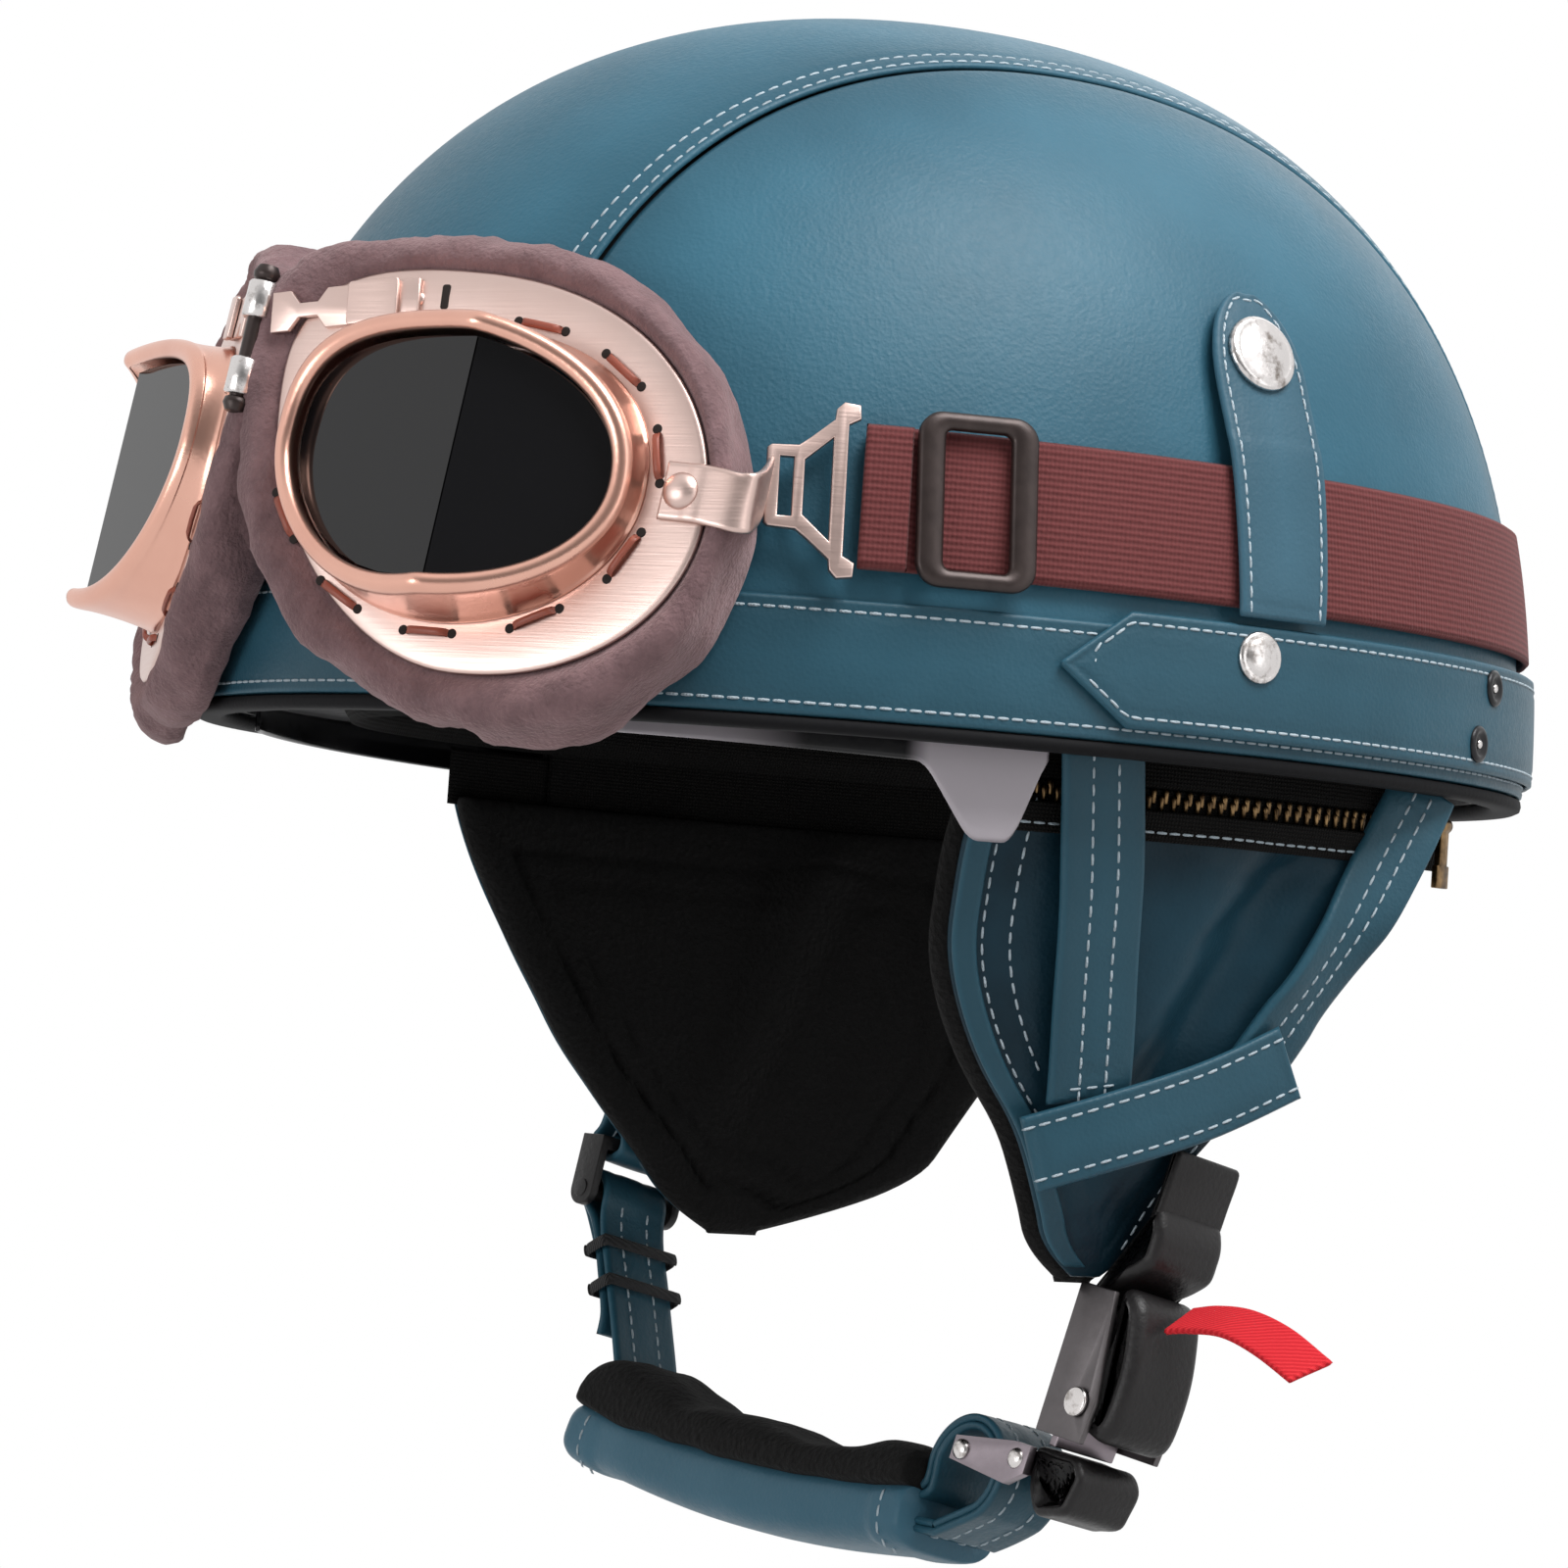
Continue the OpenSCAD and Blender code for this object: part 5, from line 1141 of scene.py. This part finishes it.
linings, flap_lines, bindings = [], [], []
for s, side in both_sides:
    P = flap_grid(s, 0, 0)
    N = grid_normal(P)
    P = P + N * billow(P)[..., None]
    flap = Sheet(P * (s, 1, 1), N * (s, 1, 1), 1.8, 1.0, grooves=((6.5, 0.25), (12, 0.25)), lift=0.1)
    sheet_piece("flap_leather_" + side, [flap], flap_blue_painted_shade, "helmet", ["ear_flap_" + side], "cover_leather")
    upper = slice(16, 58)
    flap_lines += [flap.line(6.5, lengthwise=False, keep=upper), flap.line(12, lengthwise=False, keep=upper),
                   flap.line(-3, lengthwise=False, keep=slice(8, 56))]
    strip = [flap.line(at, lengthwise=False) for at in (0.5, 0.8, 1.3, 2.2, 3.4, 4.5, 5.1, 5.4)]
    tall = min(len(on) for on, _ in strip)
    bindings.append(Sheet(*(np.array([row[k][-tall:] for row in strip]) for k in (0, 1)), 0.6, 0.5))

    # the lining is built from the flap's back towards the head, with its soft face inward
    P = flap_grid(s, -0.4 - 6, 0.8)
    N = grid_normal(P)
    P = P + N * (6 + np.minimum(billow(P), 0.5))[..., None]
    linings.append(Sheet(P * (s, 1, 1), -N * (s, 1, 1), 6.0, 5.0, grooves=((11, 1.6), (19, 0.9)),
                         lift=0.4 * ripple(P, 18, 50 + s)))
sheet_piece("flap_fleece", linings, fleece, "helmet", ["ear_linings"], "lining_fabric", keep=None)
sew("flap_stitching", flap_lines, "helmet", "cover_leather", 3.2)
sheet_piece("flap_bindings", bindings, trim_blue, "helmet", slot="trim_leather")

# Zips
# A coarse brass zip joins each flap to a black cloth skirt that hangs from the liner. The slider
# is parked at the rear end, with its pull hanging from a bail.
cloth_black = Finish("black_cloth", (0.012, 0.011, 0.011), 0.9, Specular_IOR_Level=0.15)
weft = cloth_black.put("TexWave", Vector=cloth_black.spot, Scale=420.0, Distortion=1.0, bands_direction="Z")
warp = cloth_black.put("TexWave", Vector=cloth_black.spot, Scale=420.0, Distortion=1.0, bands_direction="Y")
knit = maths(cloth_black.tree, "MULTIPLY", weft, warp)
cloth_black.tone(knit, (0.003, 0.003, 0.003), (0.014, 0.012, 0.011))
cloth_black.bump(knit, 0.35)
brass = Finish("antique_brass", (0.3, 0.18, 0.07), 0.35, 1.0)
age = brass.noise(350.0, Detail=5.0)
brass.tone(ranged(brass.tree, age, (0.35, 0.65)), (0.06, 0.036, 0.018), (0.3, 0.19, 0.09))
brass.bump(age, 0.08)
first, last = (math.degrees(math.asin((y - zip_y0) / zip_r)) for y in (-28, 86))
sweep_a = np.radians(np.linspace(first, last, 121))


def zip_out(a):
    """Outward directions along the zip's arc."""
    return np.stack([np.cos(a), np.sin(a), 0 * a], -1)


def on_zip(r, z, a=sweep_a):
    return np.stack(np.broadcast_arrays(zip_x0 + r * np.cos(a), zip_y0 + r * np.sin(a), z), -1)


tapes, teeth, tape_rows = [], [], []
for s in (1, -1):
    P = on_zip(149.2, graded(-6.8, 1.6, 9)[:, None])
    N = zip_out(sweep_a)[None] * np.ones((9, 1, 1))
    P = P + N * (0.35 * ripple(P, 16, 61))[..., None]
    tapes.append(Sheet(P * (s, 1, 1), N * (s, 1, 1), 1.6, 0.7))
    P = on_zip(149.5, graded(-11.2, -6.9, 7)[:, None])
    tapes.append(Sheet(P * (s, 1, 1), N[:7] * (s, 1, 1), 0.8, 0.35))
    P = on_zip(147.4, graded(-15, 4, 9)[:, None])
    tapes.append(Sheet(P * (s, 1, 1), N * (s, 1, 1), 1.0, 0.4))
    y = zip_y0 + 150.5 * np.sin(sweep_a)[None]
    z = graded(-17.0, -11.2, 9)[:, None]
    P = np.stack(np.broadcast_arrays(flap_x(y, z, 2.0), y, z), -1)
    P = P + N * np.maximum(billow(P), 0)[..., None]
    hem = Sheet(P * (s, 1, 1), N * (s, 1, 1), 0.8, 0.4)
    tapes.append(hem)
    tape_rows.append(hem.line(1.8, keep=slice(3, 96)))
    for k in (0, 1):
        part = np.linspace(sweep_a[0] + 0.01 + k * 0.009, sweep_a[-1] - 0.01, 121)
        line = on_zip(150.5, -9 + (0.6 if k else -0.6), part)
        teeth.append((line * (s, 1, 1), zip_out(part) * (s, 1, 1)))
tooth = []
for y, w, h in ((-1.5, 0.42, 0.3), (-1.2, 0.55, 0.62), (0.2, 0.55, 0.75), (1.0, 0.75, 0.8), (1.5, 0.5, 0.4)):
    tooth.append([(w * math.cos(a), y, max(-0.2, h * math.sin(a))) for a in full_turn(6)])
tooth_form = loose_form("tooth_form", *loft(tooth))
sheet_piece("zip_cloth", tapes, cloth_black, "helmet", ["zip_skirts"], "lining_fabric", keep=None)
fore = np.arcsin((np.linspace(-56, -25, 31) - zip_y0) / 148.5)
P = on_zip(148.5, graded(-14, -1.9, 9)[:, None], fore)
N = zip_out(fore)[None] * np.ones((9, 1, 1))
facing_strip = Sheet(P * (-1, 1, 1), N * (-1, 1, 1), 0.9, 0.4)
sheet_piece("flap_facing", [facing_strip], cloth_black, "helmet", slot="lining_fabric", keep=None)
sew("zip_teeth", teeth, "helmet", "zip_brass", 2.7, tooth_form, brass, ["zip_chains"])
sew("zip_tape_stitching", tape_rows, "helmet", "lining_fabric", 2.8)
softened("zip_slider_bodies", "zip_sliders", brass, "helmet", "zip_brass", 0.25)
for s, side in both_sides:
    softened("zip_pull_tag_" + side, "zip_pull_" + side, brass, "zip_pull_" + side, "zip_brass", 0.25)

# Harness
# On each side a front and a rear strap of doubled leather come from inside the shell, and a short
# band is sewn across their feet.
def side_ribbon(points, s, *sizes):
    """A ribbon given on the left, with its face outward on either side."""
    return ribbon([np.array(p) * (s, 1, 1) for p in points[::s]], *sizes)


strap_lines, straps, bands = [], [], []
top_x = float(zip_x(-9)) + 8
for s in (1, -1):
    foot = np.array([float(flap_x(3, -66, 5.0)), 3, -67])
    top = np.array([top_x, -9, 0.4])
    fall = foot - top
    pts = [top, top + fall * 0.35 + (1.5, 0, 0), top + fall * 0.7 + (1, 0, 0), foot]
    a = side_ribbon(pts, s, (0, 1, -0.1), 18, 2.4, 16, 15, 1.0, ((6.2, 0.3),), 71)
    heel = np.array([float(flap_x(37, -61, 5.0)), 38, -62])
    crest = np.array([float(zip_x(68)) + 5.6, 70, -7.2])
    fall = heel - crest
    pts = [crest + (-0.6, 3.4, 6.4), crest, crest + fall * 0.4 + (4, 0, 0), crest + fall * 0.75 + (1.6, 0, 0), heel]
    b = side_ribbon(pts, s, (0, 1, 0.6), 15, 2.4, 16, 15, 1.0, ((5.7, 0.3),), 72)
    d = 1.8 + 4.8 + 2.4  # outside the flap and the straps' feet
    feet = ((-10, -9, -78, 0), (4, 5, -73, 1.4), (24, 26, -65.5, 2), (44, 45, -57, 2))
    pts = [(float(flap_x(y, z, d + e)), v, z) for y, v, z, e in feet]
    c = side_ribbon(pts, s, (0, -0.36, 1), 15, 1.8, 16, 15, 0.9, ((2.4, 0.3),), 73)
    straps += [a, b]
    bands.append(c)
    for part, insets in ((a, (6.2, -6.2)), (b, (5.7, -5.7)), (c, (2.4, -2.4))):
        strap_lines += [part.line(i, keep=slice(2, -2)) for i in insets]
    strap_lines.append(a.line(-3.2 if s > 0 else 3.2, lengthwise=False, keep=slice(5, -5)))
sheet_piece("harness_front", straps[0::2], trim_blue, "helmet", ["front_straps"], "trim_leather")
sheet_piece("harness_rear", straps[1::2], trim_blue, "helmet", ["rear_straps"], "trim_leather")
sheet_piece("harness_bands", bands, trim_blue, "helmet", ["cross_bands"], "trim_leather")
sew("harness_stitching", strap_lines, "helmet", "trim_leather", 3.2)

# Padding and edge strips
# A quilted black lining fills the head opening. At the front corners clear plastic strips hold
# its edge in, and stand a little below the rim.
m_ring = full_turn(160)
f = np.sin(np.linspace(0, np.pi / 2, 44))
pad_back = 26.8  # how far under the leather the padding ends
top = dome_h - pad_back
z = -1.5 + (top + 1.5) * f
P = dome(-pad_back, m_ring[None], np.minimum(z, top - 1e-6)[:, None])
P[-1] = (0, 0, top)
N = -dome_normal(P)
N[-1] = (0, 0, -1)
channel = np.abs(np.sin(4 * m_ring))[None] * np.clip(1 - f, 0, 1)[:, None] ** 0.3
padding = Sheet(P, N, 6.0, 4.0, ring=True, lift=0.8 * channel - 0.8)
sheet_piece("quilted_lining", [padding], cloth_black, "helmet", ["comfort_liner"], "lining_fabric",
                      keep=None)
# painted light and shade: the clear strips are toned near-black where they lie in shade and pale lilac where light
# catches them, through their edge value
clear_strip_painted_light = Finish("clear_plastic", (0.42, 0.4, 0.44), 0.16, Specular_IOR_Level=0.3)
clear_strip_painted_light.tone(clear_strip_painted_light.edge(), (0.006, 0.006, 0.007), (0.5, 0.46, 0.5))
haze = clear_strip_painted_light.noise(60.0, Detail=4.0)
clear_strip_painted_light.gloss(haze, (0.08, 0.35))
clear_strip_painted_light.bump(haze, 0.3)
strips = []
for s in (1, -1):
    y = np.linspace(-122, -22, 121)
    low = np.interp(y, [-125, -48, -38, -29, -22], [-4, -6, -20, -20, -3])
    low = np.convolve(np.pad(low, 2, mode="edge"), np.ones(5) / 5, "valid")
    zz = low[None] + (1.6 - low[None]) * graded(0, 1, 11)[:, None]
    P = dome(-10.2, plan_angle(y)[None], zz)
    N = dome_normal(P)
    strips.append(Sheet(P * (s, 1, 1), N * (s, 1, 1), 1.0, 0.5))
    # here the edge value is painted light and shade, not a distance: pale stretches on the near strip, dark between
    # them, and the far strip all dark
    strips[-1].edge = np.interp(strips[-1].verts[:, 1], [-112, -104, -82, -66, -48, -44],
                                [0, 1, 0.7, 0, 0, 1]) * (s > 0)
sheet_piece("clear_edge_strips", strips, clear_strip_painted_light, "helmet", ["edge_strips"], "clear_plastic")

# Chin strap and pad
# On the right a leather strap turns on a bar under the flap, with its tail tucked under two
# elastic keepers. It carries a fleece-topped pad with a leather roll below, and a leather loop.
chin_at = (-5.5, 6, -118.5)
yaw, rake = math.radians(11), math.radians(-12)
chin_turn = np.array([[math.cos(yaw), -math.sin(yaw), 0], [math.sin(yaw), math.cos(yaw), 0], [0, 0, 1]]) @ np.array(
    [[1, 0, 0], [0, math.cos(rake), -math.sin(rake)], [0, math.sin(rake), math.cos(rake)]])


def chin(p):
    """From the chin strap's own plane: X across, Z up, Y along its swing axis."""
    return np.asarray(p, float) @ chin_turn.T + chin_at


def leaned(p, at, degrees):
    a = math.radians(degrees)
    p = np.asarray(p, float)
    x = at[0] + p[..., 0] * math.cos(a) + p[..., 2] * math.sin(a)
    z = at[1] - p[..., 0] * math.sin(a) + p[..., 2] * math.cos(a)
    return np.stack([x, p[..., 1], z], -1)


pivot, strap_foot, lean = np.array((-80.0, 22.0)), np.array((-61.3, -12.5)), 7.3
length = float(np.linalg.norm(strap_foot - pivot))
tilt = -math.degrees(math.atan2(strap_foot[0] - pivot[0], pivot[1] - strap_foot[1]))
moulded = Finish("black_moulded", (0.011, 0.01, 0.0105), 0.42, Specular_IOR_Level=0.3)
skin_grain = moulded.noise(900.0, Detail=4.0)
moulded.gloss(skin_grain, (0.34, 0.56))
moulded.bump(skin_grain, 0.15)
softened("anchor_frame", "strap_anchor", moulded, "helmet", "grey_steel", 0.4)
half = [(2.4, 0, 31), (2.8, 0, 16.5), (4.9, 0, 12.4), (4.6, 0, 9.4)]
way = half + [(0, 0, 7.8)] + [(-x, y, z) for x, y, z in half[::-1]]
sleeve = ribbon([chin(np.array(p) + (pivot[0], 0, pivot[1])) for p in way], -chin_turn[:, 1], 18, 1.3, 6, 13, 0.6,
                ((4.5, 0.25),), 75)
sheet_piece("anchor_sleeve", [sleeve], trim_blue, "helmet", slot="trim_leather")
sew("anchor_sleeve_stitching", [sleeve.line(i, keep=slice(3, -3)) for i in (4.5, -4.5)], "helmet", "trim_leather")


def strap_way(points):
    """From the strap's own frame at its bar, with -Z down the strap."""
    return [chin(leaned(p, pivot, tilt)) for p in points]


ply = [(1.1, 0, -length - 5)] + [(1.1, 0, -k) for k in (30, 20, 11)] + [(1.8, 0, -5.5), (3.05, 0, -2)]
ply += [(3.2 * math.cos(a), 0, 4.6 * math.sin(a)) for a in np.radians((10, 50, 90, 130, 170))]
ply += [(-3.05, 0, -2), (-2.0, 0, -5.5), (-1.3, 0, -11), (-1.2, 0, -18), (-1.2, 0, -24), (-1.6, 0, -29), (-3.4, 0, -33)]
plies = [ribbon(strap_way(ply), -chin_turn[:, 1], 18, 1.5, 6, 13, 0.6, ((5.4, 0.25),), 76)]
tail = [(-1.9, 0, -17), (-2.8, 0, -10), (-4.0, 0, -3), (-5.6, 0, 3.4)]
plies.append(ribbon(strap_way(tail), chin_turn[:, 1], 16, 1.3, 8, 13, 0.6))
sheet_piece("chin_strap_leather", plies, trim_blue, "chin", ["chin_strap"], "trim_leather")
sew("chin_strap_stitching", [plies[0].line(i, keep=k) for i in (5.4, -5.4) for k in (slice(2, 26), slice(-30, -3))],
    "chin", "trim_leather")
band_black = Finish("black_elastic", (0.01, 0.01, 0.011), 0.8)
band_black.bump(band_black.put("TexWave", Vector=band_black.spot, Scale=500.0, Distortion=1.5), 0.25)
bands = []
for f in (0.34, 0.58):
    band = []
    for x, y in round_off(rounded(6.6, 20.2, 1.4, 4), 2):
        out = np.array((x / 3.3, y / 10.1)) / math.hypot(x / 3.3, y / 10.1)
        around = [(0.4 * math.cos(a), 1.4 * math.sin(a)) for a in full_turn(12)]
        band.append(strap_way([(x + out[0] * u, y + out[1] * u, -f * length + w) for u, w in around]))
    bands.append(loft(band, closed=True))
shift = len(bands[0][0])
faces = bands[0][1] + [tuple(i + shift for i in q) for q in bands[1][1]]
verts = np.vstack([b[0] for b in bands])
piece("elastic_keepers", verts, faces, band_black, "chin", ["strap_keepers"], "black_elastic")

pad_x, pad_z = 12, 381  # the point above the chin that the pad curves about
roll_a, roll_b = np.radians(-100.6), np.radians(-85.4)
u = np.linspace(0, 1, 111)
arc = roll_a + (roll_b - roll_a) * u


def pad_section(r, half_w, a):
    """A place on the pad by its radius about the point above it, its offset across and its angle."""
    return chin(np.stack(np.broadcast_arrays(pad_x + r * np.cos(a), half_w, pad_z + r * np.sin(a)), -1))


q = full_turn(64)
under = np.sin(q) < 0
rows = []
for a, k in zip(arc, u):
    end = math.sqrt(max(0.02, 1 - (abs(k - 0.5) * 2) ** 40))
    hem = 0.7 / (1 + math.exp((min(k, 1 - k) - 0.085) * 260))
    waist = 0.9 * math.sin(math.pi * k) ** 2
    deep = 417.1 - 6.9 * power(np.sin(q), 0.7) * (0.9 + 0.1 * end) + np.where(under, hem + waist, 0)
    rows.append(pad_section(deep, power(np.cos(q), 0.6) * (12.9 + hem * 0.8 + 0.5 * waist) * (0.95 + 0.05 * end), a))
rows = np.array(rows)
rows = rows + 0.2 * ripple(rows, 16, 84)[..., None] * chin_turn[:, 1]
verts, faces = loft(rows)
piece("chin_roll_leather", verts, faces, keeper_blue, "chin", ["chin_roll"], "trim_leather",
                edge=np.ones(len(verts)))
hem_lines = []
for k in (6, 104):
    pts = rows[k, 21:45]
    out = pts - pad_section(417, 0, arc[k])
    hem_lines.append((pts, out / np.linalg.norm(out, axis=1, keepdims=True)))
sew("chin_roll_stitching", hem_lines, "chin", "trim_leather")
rows = []
wave = np.interp(u, [0, 0.05, 0.12, 0.3, 0.42, 0.52, 0.68, 0.8, 0.92, 1],
                 [8.5, 11.3, 11.6, 7.4, 8.4, 8.0, 5.2, 5.6, 8.4, 6.4])
wave = np.convolve(np.pad(wave, 4, mode="edge"), np.ones(9) / 9, "valid")
for k, a in enumerate(arc):
    end = math.sqrt(max(0.02, 1 - (abs(u[k] - 0.5) * 2) ** 30))
    tall = np.where(np.sin(q) > 0, wave[k] * (0.6 + 0.4 * end), 2.4)
    wide = 14.2 * power(np.cos(q), 0.6) * (0.94 + 0.06 * end)
    rows.append(pad_section(410.4 - tall * power(np.sin(q), 0.6), wide, a))
rows = np.array(rows)
rows = rows + 0.45 * ripple(rows, 12, 80)[..., None] * chin_turn[:, 2]
verts, faces = loft(rows)
piece("chin_fleece_pad", verts, faces, fleece, "chin", ["chin_fleece"], "lining_fabric")

buckle_o = pivot + 167.7 * np.array([math.cos(math.radians(lean)), -math.sin(math.radians(lean))])
bar = leaned(np.array((-26.0, 0, -25.5)), buckle_o, lean)
mouth = np.array((pad_x + 416 * math.cos(roll_b), 0, pad_z + 416 * math.sin(roll_b)))


def hoop_way(r, w):
    """A strap out of the roll's end, up round the link's bar and back into the roll."""
    ring = [(bar[0] - 1 + r * math.cos(a), 0, bar[2] - 3 + r * math.sin(a))
            for a in np.radians(np.linspace(174, -62, 15))]
    back_in = [mouth + (5.3 + w * math.cos(a), 0, w * math.sin(a)) for a in np.radians((-66, -96))]
    way_out = [mouth + (-1.6, 0, w - 0.6), mouth + (10.9 - r, 0, w + 1.6)]
    return [chin(p) for p in way_out + ring + back_in + [mouth + (-2, 0, 0.4 - w)]]


hoops = [ribbon(hoop_way(r, w), chin_turn[:, 1], 18, 1.5, 6, 15, 0.6, ((5.2, 0.25),), 77)
         for r, w in ((10.2, 4.2), (8.6, 2.6))]
sheet_piece("chin_loop_leather", hoops, trim_blue, "chin", ["chin_loop"], "trim_leather")
sew("chin_loop_stitching", [hoops[0].line(i, keep=slice(3, -3)) for i in (5.2, -5.2)], "chin", "trim_leather")

# Buckle
# A grey link and curved tongue on the strap, and on the left a steel body with a squeeze lever
# on a pin, hung from the flap by a moulded loop. A red webbing tab is sewn to the lever.
def zinc(name, colour, rough, dark, light, gloss):
    """Cast zinc, scuffed by use."""
    metal = Finish(name, colour, rough, 1.0)
    scuff = metal.noise(220.0, Detail=6.0, Roughness=0.7)
    metal.tone(scuff, dark, light)
    metal.gloss(scuff, gloss)
    metal.bump(scuff, 0.06)
    return metal


steel = zinc("satin_zinc", (0.25, 0.22, 0.24), 0.36, (0.19, 0.16, 0.178), (0.32, 0.28, 0.305), (0.28, 0.5))
dark_steel = zinc("dark_zinc", (0.15, 0.14, 0.145), 0.4, (0.085, 0.078, 0.08), (0.15, 0.138, 0.142), (0.32, 0.52))
softened("link_plates", "chin_link", steel, "chin", "grey_steel", 0.4)
link_rivet = turned_form("link_rivet_form", [(0.1, -0.4), (2.0, -0.4), (2.1, 0), (1.9, 0.4), (1.2, 0.75), (0.1, 0.9)],
                         18)
heads = [(p, e) for p in ((-26.0, -25.5), (-10.6, -23.6)) for e in (-1, 1)]
set_at = [chin(leaned(np.array((p[0], e * (11.65 if p[0] < -20 else 11.2), p[1])), buckle_o, lean)) for p, e in heads]
fix("link_rivet_heads", link_rivet, nickel, set_at, [chin_turn[:, 1] * e for _, e in heads], [(0, 0, 1)] * 4, "chin",
    "nickel")
softened("tongue_blade", "tongue", steel, "chin", "grey_steel", 0.3)


def moulding(name, solid, profiles, body):
    """A moulded black piece of smooth outlines, each given its width and rounded over at both sides."""
    verts, faces = [], []
    for outline_at, wide, soft in profiles:
        line = round_off(outline_at, 5)
        way = np.roll(line, -1, 0) - np.roll(line, 1, 0)
        side = np.stack([-way[:, 1], way[:, 0]], -1) / np.linalg.norm(way, axis=1, keepdims=True)
        if (line[:, 0] * np.roll(line[:, 1], -1) - np.roll(line[:, 0], -1) * line[:, 1]).sum() < 0:
            side = -side
        bend = np.linspace(0, np.pi / 2, 6)
        steps = [(wide / 2 - soft + soft * math.cos(a), soft * (1 - math.sin(a))) for a in bend]
        rows = [(y * e, inset) for e, part in ((1, steps), (-1, steps[::-1])) for y, inset in part]
        ring = [[(x, y, z) for x, z in line + side * inset] for y, inset in rows]
        n, start = len(line), len(verts)
        v, f = loft(chin(leaned(np.array(ring), buckle_o, lean)), capped=False)
        verts += v.tolist()
        faces += [tuple(i + start for i in q) for q in f]
        faces += [tuple(range(start, start + n)), tuple(range(start + len(v) - n, start + len(v)))[::-1]]
    return piece(name, verts, faces, moulded, body, [solid], "black_plastic")


grip_outline = [(-8.4, -19.9), (-2, -19.8), (2.8, -19.9), (5.7, -23), (5, -27.5), (3.6, -30.8), (-1, -32.2),
                (-4.2, -32.6), (-7, -29.8), (-8.5, -26.5), (-8.6, -23)]
moulding("tongue_grip_block", "tongue_grip", [(grip_outline, 17, 1.5)], "chin")
softened("buckle_side_plates", "buckle_body", dark_steel, "helmet", "grey_steel", 0.35)
hanger_outline = [(-5.8, 10.2), (-4, 10.2), (-3.4, 12.6), (0, 14.8), (3.6, 17), (6.8, 19.8), (7.3, 23.5), (7.0, 27),
                  (5.2, 30.4), (3.2, 31), (2.0, 28.5), (1.4, 24.5), (0.6, 21), (-2.2, 17.6), (-4.6, 15), (-5.9, 12.8)]
hanger_stem = [(2.4, 28.6), (4.6, 28.6), (5.1, 35), (5.3, 41.8), (2.9, 41.8), (2.7, 35)]
moulding("buckle_hanger_loop", "buckle_hanger", [(hanger_outline, 18.2, 2.2), (hanger_stem, 17.6, 1.0)], "helmet")
softened("buckle_hinge_pin", "buckle_pin", nickel, "helmet", "nickel", 0.3)
lever_outline = [(-1.7, -6), (-1.8, -9), (-1.5, -11.4), (0.4, -13.6), (4, -15), (7.6, -15.4), (10.2, -12.4), (11, -6),
                 (10.8, 0), (9.6, 6), (7.6, 11.6), (4, 14.4), (1.2, 13.6), (1.0, 9), (0.9, 3), (-0.6, -2)]
moulding("buckle_lever_arm", "buckle_lever", [(lever_outline, 18.2, 2.8)], "lever")

webbing = Finish("red_webbing", (0.75, 0.03, 0.045), 0.75, Specular_IOR_Level=0.15)
cut = webbing.put("UVMap", uv_map="cut")
cut = webbing.put("Mapping", Vector=cut, Rotation=(0, 0, 0.9))
twill = webbing.put("TexWave", Vector=cut, Scale=330.0, Distortion=1.2)
webbing.tone(twill, (0.62, 0.018, 0.028), (0.82, 0.04, 0.052))
webbing.bump(twill, 0.2)
pts = [chin(leaned(p, buckle_o, lean)) for p in ((9.9, 0, 11.2), (16, 0, 13), (25.3, 0, 14), (36.8, 0, 12.5),
                                                 (48, 0, 9.5))]
across_way = chin_turn @ np.array([0.66 * math.sin(math.radians(lean)), 0.75, 0.66 * math.cos(math.radians(lean))])
tab = ribbon(pts, across_way, 10, 1.4, 14, 15, 0.6, seed=90)
sheet_piece("red_pull_tab", [tab], webbing, "lever", ["pull_tab"], "red_webbing", keep="cut")

# Clean-up
# The loose forms that the node trees used are cleared away.
for obj in forms:
    bpy.data.objects.remove(obj)
